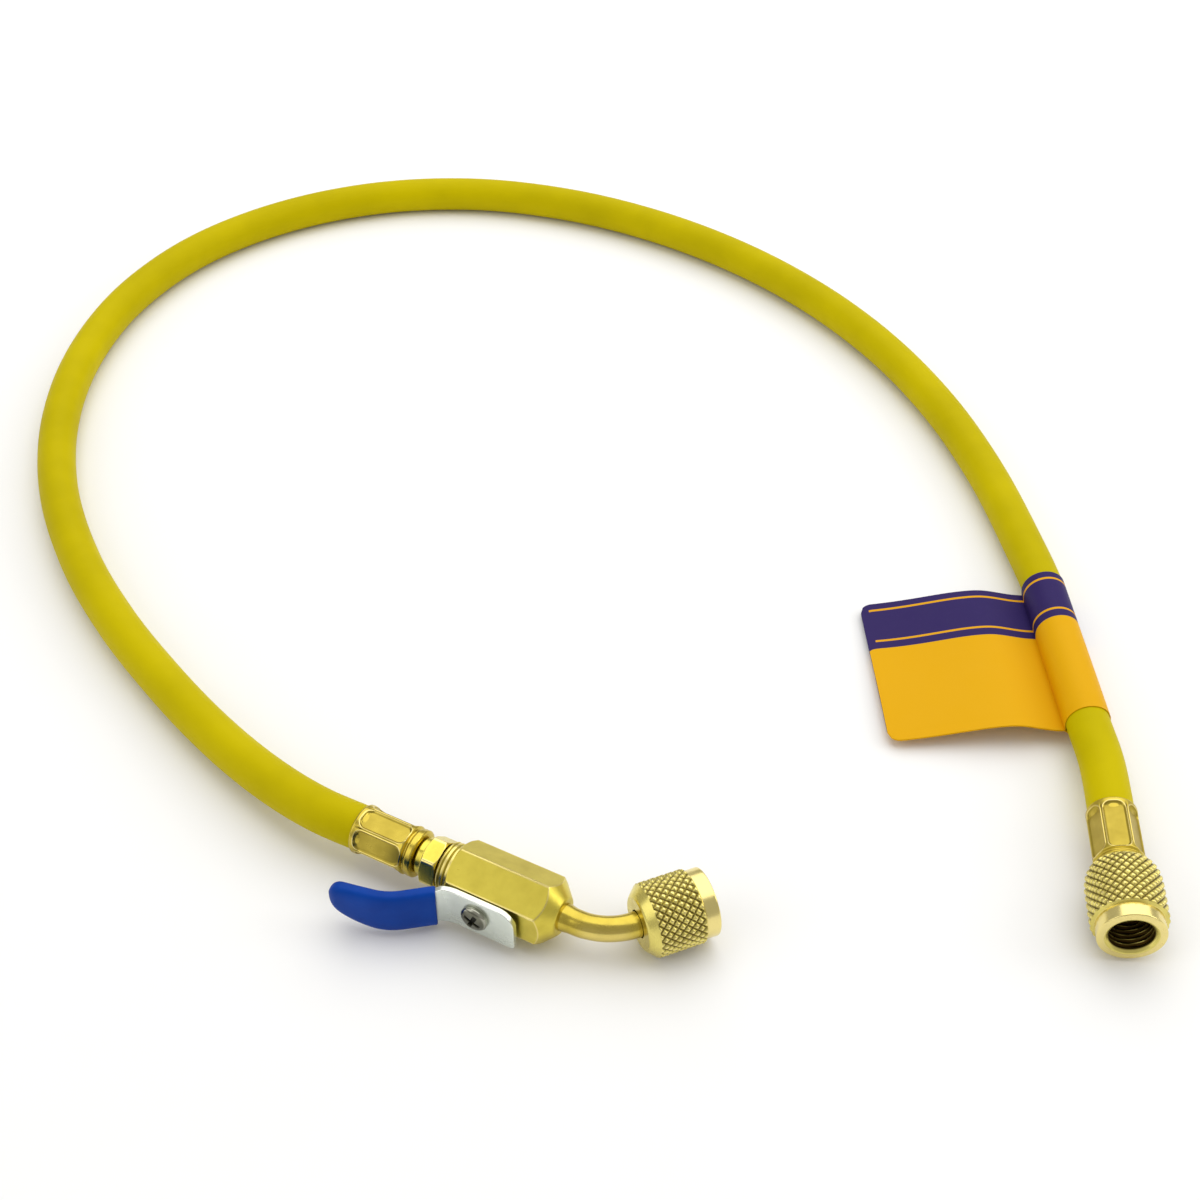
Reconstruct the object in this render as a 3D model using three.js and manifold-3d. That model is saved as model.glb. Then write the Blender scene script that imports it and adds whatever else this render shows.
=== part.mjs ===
// Refrigerant charging hose, 36 in overall, with 1/4 in flare swivel nuts.
// A yellow rubber hose runs in a wide loop from a compact ball valve to a plain swivel nut.
// The valve ends in a bent tube that carries the second nut. Millimetres, +Z up.
// The origin is on the floor, under the middle of the box round the brass fittings.
import * as THREE from "three";
import { mergeVertices } from "three/addons/utils/BufferGeometryUtils.js";
import Module from "manifold-3d";

const wasm = await Module();
wasm.setup();

// Clearances
const seatGap = 0.3;
const faceGap = 0.3;

// Hose
const hoseOuterDiameter = 11;
const hoseBore = 5;
const hoseSides = 12;
const hoseSteps = 36;
const hoseIntoMouth = 1.2;
const hoseRoute = [
  [-99.6, 20.0, 8.8], [-109.8, 27.9, 7.9], [-121.4, 38.9, 6.8], [-133.8, 52.5, 6.0],
  [-147.0, 68.8, 5.6], [-162.0, 89.3, 5.6], [-177.1, 115.0, 5.6], [-189.9, 146.6, 5.6],
  [-196.4, 180.2, 5.6], [-195.8, 214.3, 5.6], [-187.2, 247.3, 5.6], [-169.5, 276.3, 5.6],
  [-143.2, 298.1, 5.6], [-111.7, 310.9, 5.6], [-77.8, 313.6, 5.6], [-44.4, 306.5, 5.6],
  [-13.5, 291.9, 5.6], [14.0, 271.7, 5.6], [37.5, 247.0, 5.6], [56.5, 218.5, 5.6],
  [70.5, 187.4, 5.6], [79.9, 154.5, 5.6], [85.6, 121.0, 5.8], [87.7, 103.0, 6.3],
  [88.8, 77.0, 6.7], [89.9, 51.0, 7.2], [90.3, 36.0, 8.2],
];

// Ferrules, crimped over both hose ends
const ferruleLength = 16.9;
const ferruleWall = 0.4;
const ferruleMouthGap = 0.15;
const ferruleMouthDepth = 2.4;
const ferruleRimLength = 1.3;
const ferruleCrimpedFlats = 11;
const ferruleRidgeDiameter = 11.8;
const ferruleCollarHole = 3.6;
const ferruleTurn = 23;

// Hose stems: the barbed tails inside the hose
const tailDiameter = 4.4;
const tailBore = 2.6;
const barbHeight = 0.25;
const barbCount = 4;
const stemNeckDiameter = 6.4;

// Valve body, cut from hexagon bar
const bodyFlats = 14.6;
const bodyRear = -10;
const bodyFront = 13.8;
const bodyConeLength = 3.8;
const bodyConeEndDiameter = 9.2;
const shoulderLength = 3.6;
const shoulderDiameter = 12.4;
const shoulderChamfer = 0.8;
const plugDiameter = 9.4;
const plugLength = 7.6;
const smallHexFlats = 11.1;
const smallHexLength = 4.2;
const stemCollarLength = 2.3;
const stemCollarDiameter = 9.2;

// Ball, seats and valve stem
const ballDiameter = 8.2;
const portDiameter = 3.2;
const valveStemDiameter = 5.2;
const tangWidth = 1.6;
const tangLength = 1.1;

// Lever
const leverThickness = 1.5;
const leverStandoff = 0.9;
const leverNoseReach = 10;
const leverUpperHalfWidth = 5.2;
const leverLowerHalfWidth = 5.9;
const leverHandleHalfWidth = 4.7;
const leverHandleDrop = 1.2;
const leverFirstBend = 8.5;
const leverRampLength = 10.2;
const leverRampOffset = 8.4;
const leverTipLength = 13.9;
const leverTipOffset = 3;
const leverTipRadius = 4.6;
const leverNoseUpperRadius = 4.4;
const leverNoseLowerRadius = 1.2;
const gripWall = 1.2;
const gripClearance = 0.25;
const gripStart = 1.8;
const screwHeadDiameter = 6.2;
const screwHeadHeight = 1.8;
const screwShankDiameter = 2.6;
const screwShankLength = 5;
const crossWidth = 0.9;
const crossSpan = 3.8;
const crossDepth = 1;

// Elbow tube
const elbowOuterDiameter = 6.1;
const elbowBore = 3.2;
const elbowStraightIn = 3.1;
const elbowBendRadius = 15.6;
const elbowBendAngle = 51.4;
const elbowStraightOut = 0.6;
const elbowSocketDepth = 3.2;
const elbowSides = 20;

// Flare swivel nuts, 7/16-20 thread
const nutBore = 10.4;
const nutBackWall = 3;
const flangeDiameter = 9.8;
const flangeThickness = 2.2;
const gasketOuterDiameter = 9.2;
const gasketThickness = 1.6;
const gasketBore = 4.4;
const valveNutLength = 17.2;
const valveNutDiameter = 17.6;
const valveNutCollarDiameter = 16.2;
const valveNutCollarLength = 3.6;
const valveNutBackLength = 2.4;
const valveNutBackDiameter = 13.6;
const hoseEndNutLength = 19.7;
const hoseEndNutDiameter = 18;
const hoseEndNutCollarDiameter = 15.8;
const hoseEndNutCollarLength = 3.8;
const hoseEndNutBackDiameter = 13;
const hoseEndNutDomeLength = 6;
const rimChamfer = 0.6;

// Core depressor at the bent end
const depressorDiameter = 3.8;
const depressorThickness = 0.8;
const depressorPinDiameter = 1.4;
const depressorPinLength = 1.6;

// Label: a printed vinyl band round the hose with a flag on one side
const labelAlongHose = 52;
const labelFlagLength = 43.5;
const labelThickness = 0.4;
const labelClearance = 0.3;
const labelDrop = 4.9;

// Places and headings of the two ends, seen from above
const valvePlace = [-56.6, -3.5];
const valveHeading = -28.8;
const hoseEndPlace = [89.1, 19];
const hoseEndHeading = -94.1;
const turnSegments = 36;

const brass = { color: 0xc2a84a, roughness: 0.35, metalness: 1 };
const finish = {
  hose: new THREE.MeshStandardMaterial({ color: 0xcdc30a, roughness: 0.5, metalness: 0 }),
  brass: new THREE.MeshStandardMaterial(brass),
  ferrule: new THREE.MeshStandardMaterial({ ...brass, color: 0xb8962e, roughness: 0.18 }),
  steel: new THREE.MeshStandardMaterial({ color: 0xc9ccc6, roughness: 0.3, metalness: 1 }),
  vinyl: new THREE.MeshStandardMaterial({ color: 0x0b4fa8, roughness: 0.35, metalness: 0 }),
  seal: new THREE.MeshStandardMaterial({ color: 0x1c1c1c, roughness: 0.7, metalness: 0 }),
  ptfe: new THREE.MeshStandardMaterial({ color: 0xf0f0ea, roughness: 0.6, metalness: 0 }),
  label: new THREE.MeshStandardMaterial({ color: 0xf0a800, roughness: 0.4, metalness: 0 }),
};

// A closed geometry becomes a solid: shared corners merged, empty triangles dropped, faces outwards
function solid(geometry) {
  const bare = geometry.clone();
  bare.deleteAttribute("normal");
  bare.deleteAttribute("uv");
  const merged = mergeVertices(bare, 1e-4);
  const points = merged.getAttribute("position").array;
  const corners = merged.getIndex().array;
  const kept = [];
  let volume = 0;
  const a = new THREE.Vector3();
  const b = new THREE.Vector3();
  const c = new THREE.Vector3();
  for (let i = 0; i < corners.length; i += 3) {
    const [p, q, r] = [corners[i], corners[i + 1], corners[i + 2]];
    if (p === q || q === r || r === p) continue;
    kept.push(p, q, r);
    a.fromArray(points, 3 * p);
    b.fromArray(points, 3 * q);
    c.fromArray(points, 3 * r);
    volume += a.dot(b.cross(c));
  }
  if (volume < 0) kept.reverse();
  return new wasm.Manifold(new wasm.Mesh({
    numProp: 3,
    vertProperties: Float32Array.from(points),
    triVerts: Uint32Array.from(kept),
  }));
}

function pieceMesh(name, shape, material) {
  const mesh = shape.getMesh();
  const geometry = new THREE.BufferGeometry();
  geometry.setAttribute("position", new THREE.BufferAttribute(mesh.vertProperties, 3));
  geometry.setIndex(new THREE.BufferAttribute(mesh.triVerts, 1));
  geometry.computeVertexNormals();
  const piece = new THREE.Mesh(geometry, material);
  piece.name = name;
  return piece;
}

// A profile of [place along X, radius] pairs, closed on itself or on the axis, turned about X
function turned(profile, segments = turnSegments) {
  const points = profile.map(([along, radius]) => new THREE.Vector2(radius, along));
  const onAxis = profile[0][1] === 0 && profile[profile.length - 1][1] === 0;
  if (!onAxis) points.push(points[0].clone());
  const geometry = new THREE.LatheGeometry(points, segments);
  geometry.rotateZ(-Math.PI / 2);
  return solid(geometry);
}

function rod(start, end, radius, segments = turnSegments) {
  return turned([[start, 0], [start, radius], [end, radius], [end, 0]], segments);
}

// A hexagon bar along X, with one flat facing the given angle (0 is -Y, 90 is up)
function hexBar(start, end, flats, angle) {
  const corner = flats / Math.sqrt(3);
  const outline = new THREE.Shape();
  for (let k = 0; k < 6; k += 1) {
    const turn = THREE.MathUtils.degToRad(angle + 30 + 60 * k);
    const y = -corner * Math.cos(turn);
    const z = corner * Math.sin(turn);
    if (k === 0) outline.moveTo(y, z);
    else outline.lineTo(y, z);
  }
  const geometry = new THREE.ExtrudeGeometry(outline, { depth: end - start, bevelEnabled: false });
  geometry.applyMatrix4(new THREE.Matrix4().makeBasis(
    new THREE.Vector3(0, 1, 0), new THREE.Vector3(0, 0, 1), new THREE.Vector3(1, 0, 0)));
  geometry.translate(start, 0, 0);
  return solid(geometry);
}

// A rod along Y, for what turns about the valve stem
function rodAlongY(start, end, radius, segments = turnSegments) {
  const geometry = new THREE.CylinderGeometry(radius, radius, end - start, segments);
  geometry.translate(0, (start + end) / 2, 0);
  return solid(geometry);
}

function block(size, centre) {
  const geometry = new THREE.BoxGeometry(...size);
  geometry.translate(...centre);
  return solid(geometry);
}

// Barbed tail profile from its tip to the neck, along X
function tailProfile(tip, neck) {
  const radius = tailDiameter / 2;
  const pitch = (neck - tip) / (barbCount + 1);
  const profile = [[tip, tailBore / 2], [tip, radius - barbHeight]];
  for (let k = 0; k < barbCount; k += 1) {
    profile.push([tip + pitch * (k + 0.8), radius]);
    profile.push([tip + pitch * (k + 0.9), radius - barbHeight]);
  }
  return profile;
}

// Crimped sleeve from its mouth at x = 0 to its rear at x = length, six flats pressed in
function ferrule() {
  const inner = hoseOuterDiameter / 2 + ferruleMouthGap;
  const outer = inner + ferruleWall;
  const ridge = ferruleRidgeDiameter / 2;
  const crimpStart = ferruleMouthDepth;
  const crimpEnd = ferruleLength - ferruleRimLength - 1;
  const back = ferruleLength - 1;
  const geometry = new THREE.LatheGeometry([
    [0, inner], [0, outer - 0.2], [0.4, outer], [crimpStart - 0.6, outer], [crimpStart + 1, ridge],
    [crimpEnd - 1, ridge], [crimpEnd, ridge - 0.5], [crimpEnd + 0.6, ridge - 0.2],
    [ferruleLength - 0.4, ridge - 0.2], [ferruleLength, ridge - 0.6],
    [ferruleLength, ferruleCollarHole], [back, ferruleCollarHole], [back, ferruleCrimpedFlats / 2 - ferruleWall],
    [crimpEnd - 1, ridge - ferruleWall], [crimpStart + 1, ridge - ferruleWall],
    [crimpStart - 0.6, inner], [0, inner],
  ].map(([along, radius]) => new THREE.Vector2(radius, along)), 36);
  const position = geometry.getAttribute("position");
  for (let i = 0; i < position.count; i += 1) {
    const along = position.getY(i);
    const radius = Math.hypot(position.getX(i), position.getZ(i));
    if (along < crimpStart + 0.9 || along > crimpEnd - 0.9) continue;
    const angle = THREE.MathUtils.radToDeg(Math.atan2(position.getZ(i), position.getX(i)));
    const fromFlat = ((angle + 390) % 60) - 30;
    const apothem = ferruleCrimpedFlats / 2 - (ridge - radius);
    const limit = apothem / Math.cos(THREE.MathUtils.degToRad(fromFlat));
    const pressed = Math.min(radius, limit) / radius;
    position.setX(i, position.getX(i) * pressed);
    position.setZ(i, position.getZ(i) * pressed);
  }
  geometry.rotateZ(-Math.PI / 2);
  geometry.rotateX(-THREE.MathUtils.degToRad(ferruleTurn));
  return solid(geometry);
}

// The stretch of hose squeezed inside a ferrule whose mouth is at x = 0, without its bore
function crimpedHoseEnd() {
  const squeezed = ferruleCrimpedFlats / 2 - ferruleWall - seatGap;
  const shoulder = hoseOuterDiameter / 2 * Math.cos(Math.PI / hoseSides) - 0.1;
  return turned([
    [0.2, 0], [0.2, shoulder], [hoseIntoMouth + 0.2, shoulder],
    [ferruleMouthDepth + 0.4, squeezed], [hoseTailEnd, squeezed], [hoseTailEnd, 0],
  ], hoseSides);
}

// Swivel nut from its back at x = 0 to its face at x = length
function nut({ length, outside, collar, collarLength, backDiameter, backLength, dome, throat }) {
  const knurlEnd = length - collarLength;
  const profile = [[0, throat / 2], [0, backDiameter / 2 - rimChamfer], [rimChamfer / 2, backDiameter / 2]];
  if (dome) {
    for (const share of [0.25, 0.5, 0.75]) {
      const rise = Math.sin(share * Math.PI / 2);
      profile.push([share * backLength + rimChamfer / 2, (backDiameter + (outside - backDiameter) * rise) / 2]);
    }
  }
  profile.push([backLength + rimChamfer / 2, outside / 2]);
  profile.push([knurlEnd - rimChamfer, outside / 2], [knurlEnd, collar / 2]);
  profile.push([length - rimChamfer, collar / 2], [length, collar / 2 - rimChamfer]);
  profile.push([length, nutBore / 2 + rimChamfer / 2], [length - rimChamfer / 2, nutBore / 2]);
  profile.push([nutBackWall, nutBore / 2], [nutBackWall, throat / 2]);
  return turned(profile, 40);
}

// Flange that the nut pulls on, from its back face at x = start
function flangeProfile(start, bore) {
  const radius = flangeDiameter / 2;
  return [
    [start, radius], [start + flangeThickness - 0.4, radius],
    [start + flangeThickness, radius - 0.5], [start + flangeThickness, bore / 2],
  ];
}

function gasket(start) {
  return turned([
    [start, gasketBore / 2], [start, gasketOuterDiameter / 2],
    [start + gasketThickness, gasketOuterDiameter / 2], [start + gasketThickness, gasketBore / 2],
  ]);
}

const hoseTailEnd = ferruleLength - 1 - faceGap;
const flangeStart = nutBackWall + faceGap;
const gasketStart = flangeStart + flangeThickness + faceGap;

// Places along the valve's axis, from the stem at x = 0
const shoulderRear = bodyRear - shoulderLength;
const smallHexFront = shoulderRear - faceGap;
const smallHexRear = smallHexFront - smallHexLength;
const ferruleRear = smallHexRear - stemCollarLength;
const ferruleMouth = ferruleRear - ferruleLength;
const coneEnd = bodyFront + bodyConeLength;
const seatFront = ballDiameter / 2 + 0.2;
const cavityFront = seatFront + 0.4;
const cavityRadius = ballDiameter / 2 + 0.5;
const leverInner = -(bodyFlats / 2 + leverStandoff);
const leverOuter = leverInner - leverThickness;

function valveBody() {
  const corner = bodyFlats / Math.sqrt(3);
  const endRadius = bodyConeEndDiameter / 2;
  const hex = hexBar(bodyRear, coneEnd, bodyFlats, 0).intersect(turned([
    [bodyRear, 0], [bodyRear, corner + 0.05], [bodyFront, corner + 0.05], [coneEnd, endRadius], [coneEnd, 0],
  ], 48));
  const shoulder = turned([
    [shoulderRear, 0], [shoulderRear, shoulderDiameter / 2 - shoulderChamfer],
    [shoulderRear + shoulderChamfer, shoulderDiameter / 2],
    [bodyRear + 0.5, shoulderDiameter / 2], [bodyRear + 0.5, 0],
  ]);
  const bore = turned([
    [shoulderRear - 1, 0], [shoulderRear - 1, plugDiameter / 2 + seatGap],
    [cavityFront, cavityRadius], [cavityFront, portDiameter / 2],
    [coneEnd - elbowSocketDepth, portDiameter / 2],
    [coneEnd - elbowSocketDepth, elbowOuterDiameter / 2 + seatGap],
    [coneEnd + 1, elbowOuterDiameter / 2 + seatGap], [coneEnd + 1, 0],
  ]);
  const stemHole = rodAlongY(-bodyFlats, 0, valveStemDiameter / 2 + seatGap, 28);
  return hex.add(shoulder).subtract(bore).subtract(stemHole);
}

function valveHoseStem() {
  const neck = stemNeckDiameter / 2;
  const tail = tailProfile(ferruleMouth + ferruleMouthDepth, ferruleRear - 1.6);
  const ferruleBack = ferruleRear - 1;
  const plugEnd = smallHexFront + plugLength;
  const turnedPart = turned([
    ...tail, [ferruleBack, tailDiameter / 2 - barbHeight], [ferruleBack, neck],
    [ferruleRear + faceGap, neck], [ferruleRear + faceGap, stemCollarDiameter / 2],
    [smallHexRear + 0.3, stemCollarDiameter / 2], [smallHexFront - 0.3, stemCollarDiameter / 2],
    [smallHexFront - 0.3, plugDiameter / 2], [plugEnd, plugDiameter / 2], [plugEnd, tailBore / 2],
  ]);
  const hex = hexBar(smallHexRear, smallHexFront, smallHexFlats, 14)
    .subtract(rod(smallHexRear - 1, smallHexFront + 1, tailBore / 2 + 0.5));
  return turnedPart.add(hex);
}

// The ball: bored along the hose axis and slotted for the stem's tang
function valveBall() {
  const radius = ballDiameter / 2;
  const ball = solid(new THREE.SphereGeometry(radius, 28, 18));
  const slotDepth = tangLength + 0.3;
  const slot = block([ballDiameter, slotDepth, tangWidth + 0.6], [0, -radius + slotDepth / 2, 0]);
  return ball.subtract(rod(-radius - 1, radius + 1, portDiameter / 2, 24)).subtract(slot);
}

function seatRing(direction) {
  const near = 3 * direction;
  const far = (seatFront + 0.1) * direction;
  const ballFit = (along) => Math.sqrt((ballDiameter / 2 + seatGap) ** 2 - along ** 2);
  const profile = [
    [near, ballFit(3)], [near, cavityRadius - seatGap], [far, cavityRadius - seatGap],
    [far, portDiameter / 2 + 0.2], [3.9 * direction, ballFit(3.9)],
  ];
  return turned(profile);
}

function valveStem() {
  const ballTop = ballDiameter / 2;
  const barrel = rodAlongY(leverInner + faceGap, -ballTop - faceGap, valveStemDiameter / 2, 28);
  const tang = block([3.6, tangLength + 0.4, tangWidth], [0, -ballTop + tangLength / 2 - 0.2, 0]);
  const keyedEnd = rodAlongY(leverOuter + 0.2, leverInner + 1, 2.1, 28)
    .intersect(block([20, 20, 3.2], [0, leverInner, 0]));
  const screwHole = rodAlongY(leverOuter - 1, leverOuter + screwShankLength + 0.6, screwShankDiameter / 2 + 0.2, 20);
  return barrel.add(tang).add(keyedEnd).subtract(screwHole);
}

// The lever's side view: flat on the valve, a ramp away from it and a nearly flat tip
function leverSide(outward, inward) {
  const xs = [leverNoseReach + 1, -leverFirstBend, -leverFirstBend - leverRampLength,
    -leverFirstBend - leverRampLength - leverTipLength - 1];
  const middle = (leverInner + leverOuter) / 2;
  const tipSlope = leverTipOffset / leverTipLength;
  const ys = [middle, middle, middle - leverRampOffset, middle - leverRampOffset - tipSlope * (leverTipLength + 1)];
  const rampTurn = Math.atan2(leverRampOffset, leverRampLength);
  const tipTurn = Math.atan2(leverTipOffset, leverTipLength);
  const firstShift = Math.tan(rampTurn / 2);
  const line = (offset) => {
    const p1 = [xs[1] + offset * firstShift, ys[1] + offset];
    const half = rampTurn + (tipTurn - rampTurn) / 2;
    const reach = offset / Math.cos((rampTurn - tipTurn) / 2);
    const p2 = [xs[2] + reach * Math.sin(half), ys[2] + reach * Math.cos(half)];
    const p3 = [xs[3] + offset * Math.sin(tipTurn), ys[3] + offset * Math.cos(tipTurn)];
    return [[xs[0], ys[0] + offset], p1, p2, p3];
  };
  const outline = new THREE.Shape();
  const upper = line(inward);
  const lower = line(-outward).reverse();
  [...upper, ...lower].forEach(([x, y], i) => (i === 0 ? outline.moveTo(x, y) : outline.lineTo(x, y)));
  const depth = 40;
  const geometry = new THREE.ExtrudeGeometry(outline, { depth, bevelEnabled: false });
  geometry.translate(0, 0, -depth / 2);
  return solid(geometry);
}

// A face view in X and Z, carried through along Y
function faceView(outline) {
  const depth = 60;
  const geometry = new THREE.ExtrudeGeometry(outline, { depth, bevelEnabled: false, curveSegments: 8 });
  geometry.rotateX(Math.PI / 2);
  geometry.translate(0, depth / 2 - 15, 0);
  return solid(geometry);
}

const leverTip = -(leverFirstBend + leverRampLength + leverTipLength);

function leverPlate() {
  const top = leverHandleHalfWidth - leverHandleDrop;
  const bottom = -leverHandleHalfWidth - leverHandleDrop;
  const tip = leverTip + gripWall;
  const radius = leverTipRadius - gripWall;
  const outline = new THREE.Shape();
  outline.moveTo(tip + radius, top);
  outline.lineTo(-leverFirstBend - gripStart, top);
  outline.lineTo(-leverFirstBend + gripStart, leverUpperHalfWidth);
  outline.lineTo(leverNoseReach - leverNoseUpperRadius, leverUpperHalfWidth);
  outline.absarc(leverNoseReach - leverNoseUpperRadius, leverUpperHalfWidth - leverNoseUpperRadius,
    leverNoseUpperRadius, Math.PI / 2, 0, true);
  outline.lineTo(leverNoseReach, -leverLowerHalfWidth + leverNoseLowerRadius);
  outline.absarc(leverNoseReach - leverNoseLowerRadius, -leverLowerHalfWidth + leverNoseLowerRadius,
    leverNoseLowerRadius, 0, -Math.PI / 2, true);
  outline.lineTo(-leverFirstBend - gripStart, bottom);
  outline.lineTo(tip + radius, bottom);
  outline.absarc(tip + radius, bottom + radius, radius, -Math.PI / 2, -Math.PI, true);
  outline.lineTo(tip, top - radius);
  outline.absarc(tip + radius, top - radius, radius, Math.PI, Math.PI / 2, true);
  const half = leverThickness / 2;
  const keyHole = rodAlongY(leverOuter - 1, leverInner + 1, 2.4, 28)
    .intersect(block([20, 20, 3.8], [0, leverInner, 0]));
  return leverSide(half, half).intersect(faceView(outline)).subtract(keyHole);
}

// Dipped vinyl sleeve: the plate's shape with a wall all round, open at the valve's side
function leverGrip() {
  const top = leverHandleHalfWidth + gripWall - leverHandleDrop;
  const bottom = -leverHandleHalfWidth - gripWall - leverHandleDrop;
  const start = -leverFirstBend - gripStart;
  const outline = new THREE.Shape();
  outline.moveTo(start, top);
  outline.lineTo(start, bottom);
  outline.lineTo(leverTip + leverTipRadius, bottom);
  outline.absarc(leverTip + leverTipRadius, bottom + leverTipRadius, leverTipRadius, -Math.PI / 2, -Math.PI, true);
  outline.lineTo(leverTip, top - leverTipRadius);
  outline.absarc(leverTip + leverTipRadius, top - leverTipRadius, leverTipRadius, Math.PI, Math.PI / 2, true);
  const pocketEnd = leverTip + gripWall - gripClearance;
  const pocket = new THREE.Shape();
  pocket.moveTo(start + gripStart, top - gripWall + gripClearance);
  pocket.lineTo(pocketEnd, top - gripWall + gripClearance);
  pocket.lineTo(pocketEnd, bottom + gripWall - gripClearance);
  pocket.lineTo(start + gripStart, bottom + gripWall - gripClearance);
  const half = leverThickness / 2;
  const outside = leverSide(half + gripWall, half + gripWall).intersect(faceView(outline));
  const inside = leverSide(half + gripClearance, half + gripClearance).intersect(faceView(pocket));
  return outside.subtract(inside);
}

function leverScrew() {
  const seat = leverOuter - faceGap;
  const top = seat - screwHeadHeight;
  const radius = screwHeadDiameter / 2;
  const profile = [[seat, 0], [seat, radius], [seat - 0.8, radius], [top + 0.3, radius - 0.6],
    [top, radius - 1.5], [top, 0]];
  const geometry = new THREE.LatheGeometry(
    profile.map(([along, r]) => new THREE.Vector2(r, along)), 28);
  const head = solid(geometry);
  const shank = rodAlongY(seat - 0.2, seat + screwShankLength, screwShankDiameter / 2, 20);
  const depth = crossDepth * 2;
  const cross = block([crossSpan, depth, crossWidth], [0, top, 0])
    .add(block([crossWidth, depth, crossSpan], [0, top, 0]));
  return head.add(shank).subtract(cross);
}

// Elbow in the floor plane, from the valve's cone end, with the nut's flange on its far end
function elbow() {
  const bend = THREE.MathUtils.degToRad(elbowBendAngle);
  const steps = 8;
  const start = coneEnd - elbowSocketDepth + faceGap;
  const bendStart = coneEnd + elbowStraightIn;
  const bendEnd = new THREE.Vector3(
    bendStart + elbowBendRadius * Math.sin(bend), elbowBendRadius * (1 - Math.cos(bend)), 0);
  const out = new THREE.Vector3(Math.cos(bend), Math.sin(bend), 0);
  const straight = elbowStraightOut + nutBackWall + faceGap + 0.5;
  const path = new THREE.CurvePath();
  path.add(new THREE.LineCurve3(new THREE.Vector3(start, 0, 0), new THREE.Vector3(bendStart, 0, 0)));
  let last = new THREE.Vector3(bendStart, 0, 0);
  for (let k = 1; k <= steps; k += 1) {
    const angle = bend * k / steps;
    const next = new THREE.Vector3(bendStart + elbowBendRadius * Math.sin(angle),
      elbowBendRadius * (1 - Math.cos(angle)), 0);
    path.add(new THREE.LineCurve3(last, next));
    last = next;
  }
  path.add(new THREE.LineCurve3(last, bendEnd.clone().addScaledVector(out, straight)));
  const ring = new THREE.Shape();
  ring.absarc(0, 0, elbowOuterDiameter / 2, 0, 2 * Math.PI, false);
  const hole = new THREE.Path();
  hole.absarc(0, 0, elbowBore / 2, 0, 2 * Math.PI, true);
  ring.holes.push(hole);
  const tube = solid(new THREE.ExtrudeGeometry(ring,
    { extrudePath: path, steps: 14, curveSegments: elbowSides / 2, bevelEnabled: false }));
  const flange = turned([
    [flangeStart - 0.4, elbowBore / 2], [flangeStart - 0.4, elbowOuterDiameter / 2 - 0.05],
    [flangeStart, elbowOuterDiameter / 2 - 0.05], ...flangeProfile(flangeStart, elbowBore),
  ]);
  return tube.add(flange.transform(toElbowEnd().toArray()));
}

// From the nut's own frame to the valve's frame, at the end of the elbow
function toElbowEnd() {
  const bend = THREE.MathUtils.degToRad(elbowBendAngle);
  const back = coneEnd + elbowStraightIn + elbowBendRadius * Math.sin(bend) + elbowStraightOut * Math.cos(bend);
  const side = elbowBendRadius * (1 - Math.cos(bend)) + elbowStraightOut * Math.sin(bend);
  return new THREE.Matrix4().makeTranslation(back, side, 0).multiply(new THREE.Matrix4().makeRotationZ(bend));
}

function depressor() {
  const start = gasketStart + 0.1;
  return rod(start, start + depressorThickness, depressorDiameter / 2, 20)
    .add(rod(start + depressorThickness - 0.2, start + depressorThickness + depressorPinLength,
      depressorPinDiameter / 2, 12));
}

// Places along the hose end's axis, from the ferrule's mouth at x = 0
const hoseEndNutBack = ferruleLength + 0.4;

function hoseEndStem() {
  const tail = tailProfile(ferruleMouthDepth, ferruleLength - 1.6);
  const ferruleBack = ferruleLength - 1;
  const neck = stemNeckDiameter / 2;
  const flange = flangeProfile(hoseEndNutBack + flangeStart, tailBore);
  return turned([
    ...tail, [ferruleBack, tailDiameter / 2 - barbHeight], [ferruleBack, neck],
    [hoseEndNutBack + flangeStart, neck], ...flange,
  ]);
}

function hoseSection(radius) {
  const outline = new THREE.Shape();
  for (let k = 0; k < hoseSides; k += 1) {
    const angle = 2 * Math.PI * k / hoseSides;
    const corner = [radius * Math.cos(angle), radius * Math.sin(angle)];
    if (k === 0) outline.moveTo(...corner);
    else outline.lineTo(...corner);
  }
  return outline;
}

function sweptRound(points, radius, steps) {
  const path = new THREE.CatmullRomCurve3(points, false, "centripetal");
  return solid(new THREE.ExtrudeGeometry(hoseSection(radius),
    { extrudePath: path, steps, bevelEnabled: false }));
}

// Hose: a round rod along its route and a squeezed end in each ferrule, bored from end to end
function hose(valveFrame, hoseEndFrame) {
  const inValve = (along) => new THREE.Vector3(ferruleMouth + along, 0, 0).applyMatrix4(valveFrame);
  const inEnd = (along) => new THREE.Vector3(along, 0, 0).applyMatrix4(hoseEndFrame);
  const route = hoseRoute.map((point) => new THREE.Vector3(...point));
  const rodPoints = [inValve(hoseIntoMouth), inValve(0), ...route, inEnd(0), inEnd(hoseIntoMouth)];
  const past = hoseTailEnd + 1;
  const borePoints = [inValve(past), inValve(past / 2), ...rodPoints, inEnd(past / 2), inEnd(past)];
  const valveTail = crimpedHoseEnd().transform(
    valveFrame.clone().multiply(new THREE.Matrix4().makeTranslation(ferruleMouth, 0, 0)).toArray());
  const endTail = crimpedHoseEnd().transform(hoseEndFrame.toArray());
  return sweptRound(rodPoints, hoseOuterDiameter / 2, hoseSteps)
    .add(valveTail).add(endTail)
    .subtract(sweptRound(borePoints, hoseBore / 2, hoseSteps));
}

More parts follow.
